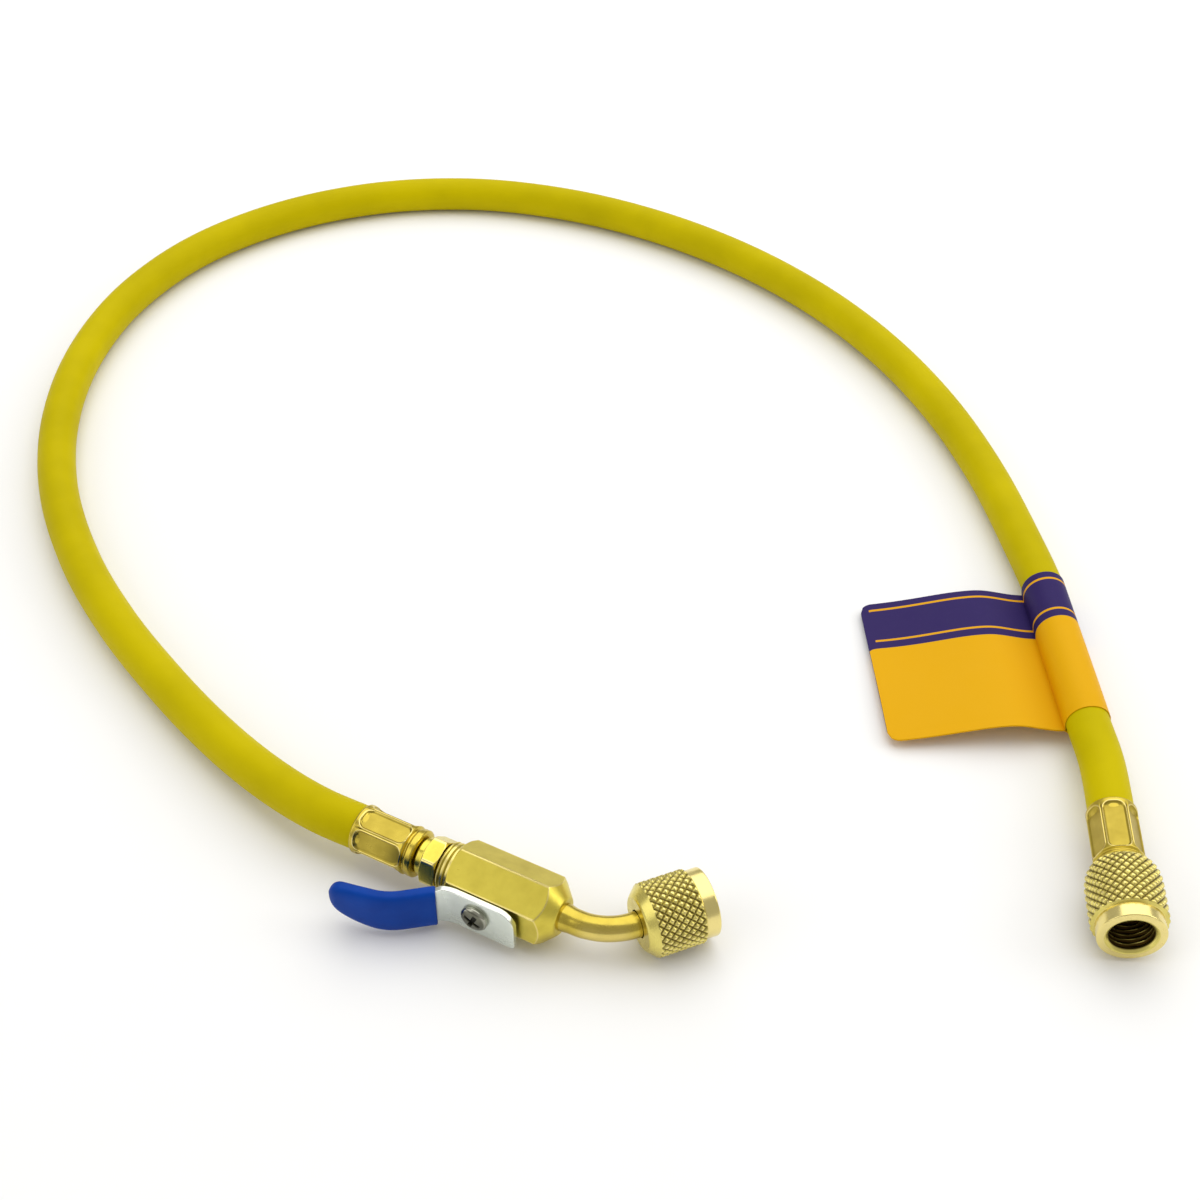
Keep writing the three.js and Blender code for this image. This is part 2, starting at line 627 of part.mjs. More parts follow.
// Label section seen along the hose: a band round it and a flag that drops towards the floor
function label() {
  const inner = hoseOuterDiameter / 2 + labelClearance;
  const outer = inner + labelThickness;
  const edge = Math.asin(labelThickness / outer);
  const shape = new THREE.Shape();
  shape.absarc(0, 0, outer, -Math.PI, Math.PI - edge * 2, false);
  shape.bezierCurveTo(-outer - labelFlagLength * 0.35, labelThickness,
    -outer - labelFlagLength * 0.5, -labelDrop + labelThickness,
    -outer - labelFlagLength, -labelDrop + labelThickness);
  shape.lineTo(-outer - labelFlagLength, -labelDrop);
  shape.bezierCurveTo(-outer - labelFlagLength * 0.5, -labelDrop, -outer - labelFlagLength * 0.35, 0, -outer, 0);
  const hole = new THREE.Path();
  hole.absarc(0, 0, inner, 0, 2 * Math.PI, true);
  shape.holes.push(hole);
  return solid(new THREE.ExtrudeGeometry(shape,
    { depth: labelAlongHose, bevelEnabled: false, curveSegments: 10 }));
}

const radians = THREE.MathUtils.degToRad;
const part = new THREE.Group();
const valveEnd = new THREE.Group();
valveEnd.position.set(valvePlace[0], valvePlace[1], valveNutDiameter / 2);
valveEnd.rotation.z = radians(valveHeading);
valveEnd.updateMatrix();
const hoseEnd = new THREE.Group();
hoseEnd.position.set(hoseEndPlace[0], hoseEndPlace[1], hoseEndNutDiameter / 2);
hoseEnd.rotation.z = radians(hoseEndHeading);
hoseEnd.updateMatrix();
part.add(valveEnd, hoseEnd);

part.add(pieceMesh("hose", hose(valveEnd.matrix, hoseEnd.matrix), finish.hose));

const valveFerrule = pieceMesh("valve_ferrule", ferrule(), finish.ferrule);
valveFerrule.position.x = ferruleMouth;
valveEnd.add(valveFerrule);
valveEnd.add(pieceMesh("valve_hose_stem", valveHoseStem(), finish.brass));
valveEnd.add(pieceMesh("valve_body", valveBody(), finish.brass));
valveEnd.add(pieceMesh("valve_ball", valveBall(), finish.steel));
valveEnd.add(pieceMesh("seat_ring_hose_side", seatRing(-1), finish.ptfe));
valveEnd.add(pieceMesh("seat_ring_elbow_side", seatRing(1), finish.ptfe));
valveEnd.add(pieceMesh("valve_stem", valveStem(), finish.brass));
valveEnd.add(pieceMesh("lever_plate", leverPlate(), finish.steel));
valveEnd.add(pieceMesh("lever_grip", leverGrip(), finish.vinyl));
valveEnd.add(pieceMesh("lever_screw", leverScrew(), finish.steel));
valveEnd.add(pieceMesh("elbow_tube", elbow(), finish.brass));

const elbowEnd = new THREE.Group();
elbowEnd.applyMatrix4(toElbowEnd());
valveEnd.add(elbowEnd);
elbowEnd.add(pieceMesh("valve_nut", nut({
  length: valveNutLength, outside: valveNutDiameter, collar: valveNutCollarDiameter,
  collarLength: valveNutCollarLength, backDiameter: valveNutBackDiameter, backLength: valveNutBackLength,
  dome: false, throat: elbowOuterDiameter + 2 * seatGap,
}), finish.brass));
elbowEnd.add(pieceMesh("valve_gasket", gasket(gasketStart), finish.seal));
elbowEnd.add(pieceMesh("core_depressor", depressor(), finish.brass));

hoseEnd.add(pieceMesh("hose_end_ferrule", ferrule(), finish.ferrule));
hoseEnd.add(pieceMesh("hose_end_stem", hoseEndStem(), finish.brass));
const hoseEndNut = pieceMesh("hose_end_nut", nut({
  length: hoseEndNutLength, outside: hoseEndNutDiameter, collar: hoseEndNutCollarDiameter,
  collarLength: hoseEndNutCollarLength, backDiameter: hoseEndNutBackDiameter,
  backLength: hoseEndNutDomeLength, dome: true, throat: stemNeckDiameter + 2 * seatGap,
}), finish.brass);
hoseEndNut.position.x = hoseEndNutBack;
hoseEnd.add(hoseEndNut);
hoseEnd.add(pieceMesh("hose_end_gasket", gasket(hoseEndNutBack + gasketStart), finish.seal));

// The label hangs on the straight stretch near the hose end
const labelFar = new THREE.Vector3(...hoseRoute[hoseRoute.length - 4]);
const labelNear = new THREE.Vector3(...hoseRoute[hoseRoute.length - 2]);
const labelPiece = pieceMesh("label", label(), finish.label);
const along = labelNear.clone().sub(labelFar).normalize();
const across = new THREE.Vector3(0, 0, 1).cross(along).normalize();
labelPiece.position.copy(labelFar);
labelPiece.setRotationFromMatrix(new THREE.Matrix4().makeBasis(across, along.clone().cross(across), along));
part.add(labelPiece);

export default part;
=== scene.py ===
"""Dresses the refrigerant charging hose: fine surfaces, finishes, floor, light and camera.

Every fitting is worked out in millimetres, in its own frame: x runs along its axis, y to the left
seen from above, z is up. Surfaces are grids of points in the row frame, and Surface.build turns
them into metres. Angles round an axis start at the right-hand side, local -y, and rise over the top.
"""
from __future__ import annotations

import logging
import math
from collections.abc import Callable, Mapping, Sequence
from dataclasses import dataclass
from enum import Enum

import bpy
import numpy as np
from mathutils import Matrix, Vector
from numpy.typing import NDArray

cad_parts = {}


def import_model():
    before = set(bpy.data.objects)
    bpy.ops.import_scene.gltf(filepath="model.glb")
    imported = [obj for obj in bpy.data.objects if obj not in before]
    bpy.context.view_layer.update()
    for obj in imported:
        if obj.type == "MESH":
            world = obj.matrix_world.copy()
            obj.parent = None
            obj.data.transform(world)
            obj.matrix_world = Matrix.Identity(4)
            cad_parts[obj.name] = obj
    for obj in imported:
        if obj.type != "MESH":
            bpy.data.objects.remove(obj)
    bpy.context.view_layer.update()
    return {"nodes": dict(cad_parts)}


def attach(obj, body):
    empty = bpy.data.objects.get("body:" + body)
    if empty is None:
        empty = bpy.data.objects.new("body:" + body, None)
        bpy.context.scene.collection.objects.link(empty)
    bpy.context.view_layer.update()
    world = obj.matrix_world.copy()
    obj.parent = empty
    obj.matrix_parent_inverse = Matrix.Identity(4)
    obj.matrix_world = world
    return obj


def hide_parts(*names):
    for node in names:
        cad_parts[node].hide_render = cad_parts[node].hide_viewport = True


MM = 0.001
# Point attribute: above 0 lighter edges and tops, partly polish and partly painted highlight; below 0
# painted shade in grooves, bores and recesses.
WEAR_AND_PAINTED_LIGHT = "wear_and_painted_light"
WRAP = "wrap"
LOG = logging.getLogger("charging_hose")

Array = NDArray[np.float64]
Colour = tuple[float, float, float, float]
Shape = Callable[[Array, Array, Array], tuple[Array, Array]]

HOSE_DIAMETER = 11.0
HOSE_ROUTE = (
    (-0.0996, 0.0200, 0.0088), (-0.1098, 0.0279, 0.0079), (-0.1214, 0.0389, 0.0068),
    (-0.1338, 0.0525, 0.0060), (-0.1470, 0.0688, 0.0056), (-0.1620, 0.0893, 0.0056),
    (-0.1771, 0.1150, 0.0056), (-0.1899, 0.1466, 0.0056), (-0.1964, 0.1802, 0.0056),
    (-0.1958, 0.2143, 0.0056), (-0.1872, 0.2473, 0.0056), (-0.1695, 0.2763, 0.0056),
    (-0.1432, 0.2981, 0.0056), (-0.1117, 0.3109, 0.0056), (-0.0778, 0.3136, 0.0056),
    (-0.0444, 0.3065, 0.0056), (-0.0135, 0.2919, 0.0056), (0.0140, 0.2717, 0.0056),
    (0.0375, 0.2470, 0.0056), (0.0565, 0.2185, 0.0056), (0.0705, 0.1874, 0.0056),
    (0.0799, 0.1545, 0.0056), (0.0856, 0.1210, 0.0058), (0.0877, 0.1030, 0.0063),
    (0.0888, 0.0770, 0.0067), (0.0899, 0.0510, 0.0072), (0.0903, 0.0360, 0.0082),
)


class Body(Enum):
    """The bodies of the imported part."""

    ASSEMBLY = "hose_assembly"
    LEVER = "lever"
    VALVE_SWIVEL = "valve_swivel"
    HOSE_END_SWIVEL = "hose_end_swivel"


class Back(Enum):
    """How a swivel nut's back end is turned."""

    CONE = "cone"
    DOME = "dome"


def srgb(red: int, green: int, blue: int) -> Colour:
    """The linear colour of a colour given as screen values from 0 to 255."""
    seen = np.array([red, green, blue]) / 255.0
    linear = np.where(seen <= 0.04045, seen / 12.92, ((seen + 0.055) / 1.055) ** 2.4)
    return (*linear.tolist(), 1.0)


def smooth_step(share: Array) -> Array:
    """Rises from 0 to 1 along the curve 3t^2 - 2t^3, and stays flat outside that range."""
    t = np.clip(share, 0.0, 1.0)
    return t * t * (3.0 - 2.0 * t)


def smooth_min(first: Array, second: Array, width: float) -> Array:
    """The smaller of two values, blended by a parabola where they differ by less than width."""
    share = np.clip(0.5 + 0.5 * (second - first) / width, 0.0, 1.0)
    return second + (first - second) * share - width * share * (1.0 - share)


def wave(phase: Array) -> Array:
    """A triangle wave: 0 at whole numbers and 1 halfway between them."""
    return 1.0 - np.abs(2.0 * (phase % 1.0) - 1.0)


def hexagon(theta: Array, flats: float, flat_angle: float) -> Array:
    """Distance from the axis to a hexagon: half the flats over the cosine of the angle to a flat."""
    turn = (np.degrees(theta) - flat_angle + 30.0) % 60.0 - 30.0
    return flats / 2.0 / np.cos(np.radians(turn))


def rounded(corners: Sequence[Sequence[float]] | Array, cut: float, steps: int = 4) -> Array:
    """Rounds an open outline's corners with the curve (1-t)^2 A + 2t(1-t) B + t^2 C.

    Args:
        corners: the outline's corners, one row each.
        cut: distance from a corner to where its curve starts and ends, at most 0.45 of a side.
        steps: straight pieces in each curve.

    Returns:
        The rounded outline, which keeps its first and last corner.
    """
    points = np.asarray(corners, float)
    middle = points[1:-1]
    back = points[:-2] - middle
    ahead = points[2:] - middle
    back_length = np.linalg.norm(back, axis=1, keepdims=True)
    ahead_length = np.linalg.norm(ahead, axis=1, keepdims=True)
    reach = np.minimum(cut, 0.45 * np.minimum(back_length, ahead_length))
    start = (middle + back * reach / back_length)[:, None]
    end = (middle + ahead * reach / ahead_length)[:, None]
    t = np.linspace(0.0, 1.0, steps + 1)[None, :, None]
    curve = (1 - t) ** 2 * start + 2 * t * (1 - t) * middle[:, None] + t**2 * end
    return np.vstack([points[:1], curve.reshape(-1, points.shape[1]), points[-1:]])


def dense(line: Array, spacing: float) -> Array:
    """Adds evenly spaced points to each side of an outline that is longer than spacing."""
    sides = np.diff(line, axis=0)
    steps = np.maximum(1, np.ceil(np.linalg.norm(sides, axis=1) / spacing).astype(int))
    first = np.repeat(np.cumsum(steps) - steps, steps)
    share = (np.arange(steps.sum()) - first) / np.repeat(steps, steps)
    points = np.repeat(line[:-1], steps, axis=0) + np.repeat(sides, steps, axis=0) * share[:, None]
    return np.vstack([points, line[-1:]])


def end_fall(along: Array, reach: float, fall: float) -> Array:
    """How far an edge has fallen near its end: a quarter ellipse, reach long and fall high."""
    return fall * (1.0 - np.sqrt(1.0 - np.clip(1.0 - along / reach, 0.0, 1.0) ** 2))


def barbs(tip: float, pitch: float) -> Array:
    """Section of a hose tail's four barbs, which widen away from its tip and then drop."""
    rises = ((0.2, 1.95), (2.6, 2.25))
    return np.array([(tip + pitch * k + step, radius) for k in range(4) for step, radius in rises])


def plain(theta: Array, along: Array, radius: Array) -> tuple[Array, Array]:
    """A round section: the profile's own radius, with wear_and_painted_light 0 all round."""
    return radius + 0.0 * theta, 0.0 * (theta + along)


@dataclass(frozen=True)
class Placement:
    """A fitting's frame in the row frame.

    Attributes:
        origin: place of its zero point, in millimetres.
        heading: direction of its axis in degrees, from +X towards +Y.
    """

    origin: tuple[float, float, float]
    heading: float

    def to_row(self, points: Array) -> Array:
        """Turns points by the heading about z, then moves them to the origin."""
        turn = math.radians(self.heading)
        cos, sin = math.cos(turn), math.sin(turn)
        rotation = np.array([[cos, -sin, 0.0], [sin, cos, 0.0], [0.0, 0.0, 1.0]])
        return points @ rotation.T + np.array(self.origin)

    def on_axis(self, along: float) -> Array:
        """The row-frame point that lies at a distance along the axis."""
        return self.to_row(np.array([along, 0.0, 0.0]))

    def ahead(self, along: float, side: float = 0.0, turn: float = 0.0) -> Placement:
        """A placement further along this one, moved to its left by side and turned to its left."""
        return Placement(tuple(self.to_row(np.array([along, side, 0.0]))), self.heading + turn)


@dataclass(frozen=True)
class Centreline:
    """A line through a piece, as close points in the row frame; places on it are lengths from first."""

    points: Array
    first: float = 0.0

    @property
    def marks(self) -> Array:
        """Length along the line at each of its points."""
        steps = np.linalg.norm(np.diff(self.points, axis=0), axis=1)
        return self.first + np.concatenate([[0.0], np.cumsum(steps)])

    def at(self, along: Array) -> tuple[Array, Array, Array]:
        """Centre, right-hand direction and upward direction at places along the line.

        The right-hand direction is the tangent crossed with Z, and the upward one is that
        crossed with the tangent. Past either end the line runs on straight.

        Args:
            along: lengths along the line.

        Returns:
            Three arrays of one point or direction for each length.
        """
        marks = self.marks
        tangents = np.gradient(self.points, marks, axis=0)
        centre = np.stack([np.interp(along, marks, self.points[:, k]) for k in range(3)], axis=-1)
        tangent = np.stack([np.interp(along, marks, tangents[:, k]) for k in range(3)], axis=-1)
        tangent /= np.linalg.norm(tangent, axis=-1, keepdims=True)
        past = along - np.clip(along, marks[0], marks[-1])
        centre += tangent * past[..., None]
        right = np.cross(tangent, np.array([0.0, 0.0, 1.0]))
        right /= np.linalg.norm(right, axis=-1, keepdims=True)
        return centre, right, np.cross(right, tangent)


def axis_line(placement: Placement, start: float, end: float) -> Centreline:
    """The straight centreline of a turned piece, from start to end along a placement's axis."""
    return Centreline(np.stack([placement.on_axis(start), placement.on_axis(end)]), start)


@dataclass
class Surface:
    """A closed grid of points, with rows along a piece and columns round it.

    Attributes:
        points: rows x columns x 3 places in the row frame, in millimetres.
        ring: True where the last row meets the first one, as on a bored piece; else both get a cap.
        wear_and_painted_light: rows x columns, 1 on an edge or top, lighter there as partly polish
        and partly painted highlight, and below 0 in a dull groove, darkened as painted shade.
        wrap: places for the print, two arrays of rows and of columns + 1 values, or None.
    """

    points: Array
    ring: bool = True
    wear_and_painted_light: Array | None = None
    wrap: tuple[Array, Array] | None = None

    @classmethod
    def swept(cls, line: Centreline, profile: Array, columns: int, shape: Shape = plain,
              ring: bool = True, phase: float = 0.0) -> Surface:
        """Carries a round section along a line: centre + r cos(t) right + r sin(t) up.

        Args:
            line: the piece's centreline.
            profile: rows of length along the line and radius.
            columns: points round the section.
            shape: gives radius and wear_and_painted_light from angle, length and the profile's radius.
            ring: True where the profile closes on itself.
            phase: angle of the first column, in degrees.

        Returns:
            The surface, with its wear_and_painted_light.
        """
        theta = np.radians(phase) + 2.0 * np.pi * np.arange(columns) / columns
        centre, right, up = line.at(profile[:, 0])
        radius, wear_and_painted_light = shape(theta[None, :], profile[:, :1], profile[:, 1:])
        across = (radius * np.cos(theta))[..., None] * right[:, None]
        height = (radius * np.sin(theta))[..., None] * up[:, None]
        return cls(centre[:, None] + across + height, ring, wear_and_painted_light)

    @classmethod
    def carried(cls, line: Centreline, along: Array, across: Array, height: Array) -> Surface:
        """Carries a section of any outline along a line: centre + across right + height up."""
        centre, right, up = line.at(along)
        points = centre[:, None] + across[..., None] * right[:, None] + height[..., None] * up[:, None]
        return cls(points, ring=False)

    def faces(self) -> tuple[Array, Array, Array]:
        """Four-cornered faces between rows, and fans over the first and last row if not a ring.

        Returns:
            The quads' corner numbers, their corners in the grid of rows and columns + 1, and the
            fans' triangles.
        """
        rows, columns = self.points.shape[:2]
        i, j = np.meshgrid(np.arange(rows if self.ring else rows - 1), np.arange(columns), indexing="ij")
        below = (i + 1) % rows
        right = (j + 1) % columns
        quads = np.stack([i * columns + j, i * columns + right, below * columns + right,
                          below * columns + j], axis=-1).reshape(-1, 4)
        grid = np.stack([i * (columns + 1) + j, i * (columns + 1) + j + 1,
                         (i + 1) * (columns + 1) + j + 1, (i + 1) * (columns + 1) + j],
                        axis=-1).reshape(-1, 4)
        if self.ring:
            return quads, grid, np.empty((0, 3), int)
        here = np.arange(columns)
        after = (here + 1) % columns
        start = rows * columns
        first = np.stack([after, here, np.full(columns, start)], axis=-1)
        base = (rows - 1) * columns
        last = np.stack([base + here, base + after, np.full(columns, start + 1)], axis=-1)
        return quads, grid, np.vstack([first, last])

    def build(self, name: str, crease: float = 32.0) -> bpy.types.Object:
        """Makes the mesh, turns its faces outwards and links its object to the scene.

        Args:
            name: the object's name.
            crease: angle in degrees past which an edge is shaded sharp.

        Returns:
            The object, at the origin.
        """
        vertices = self.points.reshape(-1, 3) * MM
        wear_and_painted_light = np.zeros(self.points.shape[:2]) if self.wear_and_painted_light is None else self.wear_and_painted_light
        wear_and_painted_light = wear_and_painted_light.reshape(-1)
        quads, grid, fans = self.faces()
        if not self.ring:
            caps = self.points[[0, -1]].mean(axis=1) * MM
            vertices = np.vstack([vertices, caps])
            wear_and_painted_light = np.concatenate([wear_and_painted_light, [0.0, 0.0]])
        triangles = np.vstack([quads[:, [0, 1, 2]], quads[:, [0, 2, 3]], fans])
        a, b, c = (vertices[triangles[:, k]] for k in range(3))
        outward = np.einsum("ij,ij->i", a, np.cross(b, c)).sum() > 0
        if not outward:
            quads, grid, fans = quads[:, ::-1], grid[:, ::-1], fans[:, ::-1]
        mesh = bpy.data.meshes.new(name)
        mesh.from_pydata(vertices.tolist(), [], quads.tolist() + fans.tolist())
        mesh.attributes.new(WEAR_AND_PAINTED_LIGHT, "FLOAT", "POINT").data.foreach_set("value", wear_and_painted_light.astype(np.float32))
        if self.wrap is not None:
            self._write_wrap(mesh, grid, len(fans))
        mesh.polygons.foreach_set("use_smooth", np.ones(len(mesh.polygons), bool))
        mesh.set_sharp_from_angle(angle=math.radians(crease))
        piece = bpy.data.objects.new(name, mesh)
        bpy.context.scene.collection.objects.link(piece)
        LOG.info("%s: %d faces", name, len(mesh.polygons))
        return piece

    def _write_wrap(self, mesh: bpy.types.Mesh, grid: Array, fans: int) -> None:
        """Writes the print's places as a UV map, by the quads' corners in the grid.

        Args:
            mesh: the mesh to write to.
            grid: the quads' corners in the grid of rows and columns + 1.
            fans: how many cap triangles follow the quads.
        """
        along, around = self.wrap
        u, v = np.meshgrid(along, around, indexing="ij")
        places = np.stack([u, v], axis=-1).reshape(-1, 2)[grid.reshape(-1)]
        places = np.vstack([places, np.zeros((3 * fans, 2))])
        mesh.uv_layers.new(name=WRAP).data.foreach_set("uv", places.reshape(-1).astype(np.float32))


class Value:
    """A socket that carries one number, so that shader maths reads as an expression."""

    def __init__(self, shader: Shader, socket: bpy.types.NodeSocket) -> None:
        """Keeps the shader that the socket belongs to, and the socket."""
        self.shader = shader
        self.socket = socket

    def math(self, operation: str, first: object, second: object = None, clamp: bool = False) -> Value:
        """Adds one Math node.

        Args:
            operation: the node's operation.
            first: its first value or link.
            second: its second value or link, if it has one.
            clamp: whether the result is kept between 0 and 1.

        Returns:
            The node's result.
        """
        inputs = {0: first} if second is None else {0: first, 1: second}
        settings = {"operation": operation, "use_clamp": clamp}
        return Value(self.shader, self.shader.node("ShaderNodeMath", settings, inputs).outputs[0])

    def __add__(self, other: object) -> Value:
        """self + other."""
        return self.math("ADD", self, other)

    def __radd__(self, other: object) -> Value:
        """other + self."""
        return self.math("ADD", other, self)

    def __sub__(self, other: object) -> Value:
        """self - other."""
        return self.math("SUBTRACT", self, other)

    def __rsub__(self, other: object) -> Value:
        """other - self."""
        return self.math("SUBTRACT", other, self)

    def __mul__(self, other: object) -> Value:
        """self * other."""
        return self.math("MULTIPLY", self, other)

    def __rmul__(self, other: object) -> Value:
        """other * self."""
        return self.math("MULTIPLY", other, self)

    def __truediv__(self, other: object) -> Value:
        """self / other."""
        return self.math("DIVIDE", self, other)

    def __rtruediv__(self, other: object) -> Value:
        """other / self."""
        return self.math("DIVIDE", other, self)

    def __abs__(self) -> Value:
        """The value without its sign."""
        return self.math("ABSOLUTE", self)

    def smaller(self, other: object) -> Value:
        """The smaller of the two values."""
        return self.math("MINIMUM", self, other)

    def larger(self, other: object) -> Value:
        """The larger of the two values."""
        return self.math("MAXIMUM", self, other)

    def between(self, low: float, high: float) -> Value:
        """0 below low, 1 above high, and a straight rise between them."""
        return self.math("MULTIPLY", self - low, 1.0 / (high - low), clamp=True)


class Shader:
    """One material's nodes."""

    def __init__(self, name: str) -> None:
        """Makes an empty material of that name."""
        self.material = bpy.data.materials.new(name)
        self.material.use_nodes = True
        self.tree = self.material.node_tree
        self.tree.nodes.clear()

    def node(self, kind: str, settings: Mapping[str, object] | None = None,
             inputs: Mapping[int | str, object] | None = None) -> bpy.types.Node:
        """Adds a node.

        Args:
            kind: the node's type.
            settings: its properties, set first.
            inputs: values or links of its sockets, by name or number.

        Returns:
            The node.
        """
        made = self.tree.nodes.new(kind)
        for key, value in (settings or {}).items():
            setattr(made, key, value)
        for key, value in (inputs or {}).items():
            source = value.socket if isinstance(value, Value) else value
            if isinstance(source, bpy.types.NodeSocket):
                self.tree.links.new(source, made.inputs[key])
            else:
                made.inputs[key].default_value = source
        return made

    def value(self, kind: str, output: int | str = 0, settings: Mapping[str, object] | None = None,
              inputs: Mapping[int | str, object] | None = None) -> Value:
        """Adds a node and wraps one of its outputs as a value."""
        return Value(self, self.node(kind, settings, inputs).outputs[output])

    def place(self) -> bpy.types.NodeSocket:
        """The point's place on the object, in metres."""
        return self.node("ShaderNodeTexCoord").outputs["Object"]

    def local(self, placement: Placement, size: tuple[float, float, float]) -> bpy.types.NodeSocket:
        """The point's place in a fitting's frame, in units of size, which is in millimetres."""
        inputs = {
            "Vector": self.place(),
            "Location": [k * MM for k in placement.origin],
            "Rotation": (0.0, 0.0, math.radians(placement.heading)),
            "Scale": [k * MM for k in size],
        }
        return self.node("ShaderNodeMapping", {"vector_type": "TEXTURE"}, inputs).outputs[0]

    def noise(self, where: bpy.types.NodeSocket, scale: float, detail: float = 2.0) -> Value:
        """Soft noise from 0 to 1; scale is in waves per unit of where."""
        inputs = {"Vector": where, "Scale": scale, "Detail": detail}
        return self.value("ShaderNodeTexNoise", 0, None, inputs)

    def wear_and_painted_light(self) -> Value:
        """The piece's wear_and_painted_light: 1 on an edge, partly polish and partly painted highlight,
        below 0 in a groove, where the colour is painted shade.
        """
        return self.value("ShaderNodeAttribute", "Fac", {"attribute_name": WEAR_AND_PAINTED_LIGHT})

    def mix(self, share: Value, first: object, second: object) -> bpy.types.NodeSocket:
        """A colour between first, at share 0, and second, at share 1."""
        settings = {"data_type": "RGBA", "clamp_factor": True}
        return self.node("ShaderNodeMix", settings, {0: share, 6: first, 7: second}).outputs[2]

    def bump(self, height: Value, distance: float, strength: float) -> bpy.types.NodeSocket:
        """A normal bent by a height from 0 to 1, which stands for distance in millimetres."""
        inputs = {"Height": height, "Distance": distance * MM, "Strength": strength}
        return self.node("ShaderNodeBump", None, inputs).outputs[0]

    def finish(self, inputs: Mapping[int | str, object]) -> bpy.types.Material:
        """Ends the material with a Principled shader.

        Args:
            inputs: values or links of the shader's sockets.

        Returns:
            The material.
        """
        surface = self.node("ShaderNodeBsdfPrincipled", None, inputs)
        self.node("ShaderNodeOutputMaterial", None, {"Surface": surface.outputs[0]})
        return self.material


@dataclass(frozen=True)
class Metal:
    """A metal whose colour drifts, with tool lines, dull grooves darkened with painted shade, and
    lighter edges, partly polish and partly painted highlight.

    Attributes:
        name: the material's name.
        colour: its clean colour.
        shade: its colour in dull patches.
        polish_and_highlight: its colour on edges and tops, partly polish and partly painted highlight.
        roughness: how dull it is.
        placement: frame that the tool lines follow.
        line_size: size of the lines' grain in that frame, in millimetres.
        line_height: height of the lines, in millimetres.
        patch_size: size of the colour's patches, in millimetres.
        patchiness: how far the patches go towards the shade.
        pit_painted_shade: painted shade, its colour deep in grooves, bores and recesses.
    """

    name: str
    colour: Colour
    shade: Colour
    polish_and_highlight: Colour
    roughness: float
    placement: Placement
    line_size: tuple[float, float, float]
    line_height: float = 0.01
    patch_size: float = 4.0
    patchiness: float = 0.35
    pit_painted_shade: Colour = srgb(70, 50, 16)

    def material(self) -> bpy.types.Material:
        """The material: colour, roughness and bump from place and wear_and_painted_light."""
        shader = Shader(self.name)
        patches = shader.noise(shader.place(), 1.0 / (self.patch_size * MM), 4.0)
        lines = shader.noise(shader.local(self.placement, self.line_size), 1.0, 3.0)
        wear_and_painted_light = shader.wear_and_painted_light()
        # Painted shade below 0, and above 0 a lighter colour, partly polish and partly painted highlight.
        groove = (0.0 - wear_and_painted_light).between(0.0, 1.0)
        edge = wear_and_painted_light.between(0.0, 1.0)
        clean = shader.mix(patches.between(0.35, 0.75) * self.patchiness, self.colour, self.shade)
        # Painted shade towards the pit colour in grooves, then the lighter edge colour, partly painted
        # highlight.
        colour = shader.mix(edge, shader.mix(groove, clean, self.pit_painted_shade), self.polish_and_highlight)
        spread = (patches - 0.5) * 0.18 + (lines - 0.5) * 0.14
        roughness = (self.roughness + spread + groove * 0.25 - edge * 0.08).larger(0.05)
        normal = shader.bump(lines, self.line_height, 0.6)
        return shader.finish({"Base Color": colour, "Metallic": 1.0, "Roughness": roughness,
                              "Normal": normal})


@dataclass(frozen=True)
class HoseRubber:
    """Yellow rubber cover: satin, with very fine lines along the hose and faint clouds.

    Attributes:
        name: the material's name.
        colour: its colour.
        cloud: its colour in the clouds.
        roughness: how dull it is.
        specular: strength of its reflections, 0.5 for an ordinary plastic.
    """

    name: str = "hose_rubber"
    colour: Colour = srgb(199, 182, 0)
    cloud: Colour = srgb(186, 170, 0)
    roughness: float = 0.5
    specular: float = 0.04

    def material(self) -> bpy.types.Material:
        """The material; its lines follow the hose through its wrap map, in millimetres."""
        shader = Shader(self.name)
        wrap = shader.node("ShaderNodeUVMap", {"uv_map": WRAP}).outputs[0]
        stretched = shader.node("ShaderNodeMapping", None,
                                {"Vector": wrap, "Scale": (0.03, 2.2, 1.0)}).outputs[0]
        lines = shader.noise(stretched, 1.0, 3.0)
        clouds = shader.noise(shader.place(), 45.0, 3.0)
        skin = shader.noise(shader.place(), 2400.0, 3.0)
        colour = shader.mix(clouds.between(0.35, 0.7), self.colour, self.cloud)
        roughness = self.roughness + (clouds - 0.5) * 0.12 + (skin - 0.5) * 0.1
        normal = shader.bump(lines * 0.55 + skin * 0.45, 0.05, 0.35)
        return shader.finish({"Base Color": colour, "Roughness": roughness, "Normal": normal,
                              "Specular IOR Level": self.specular})


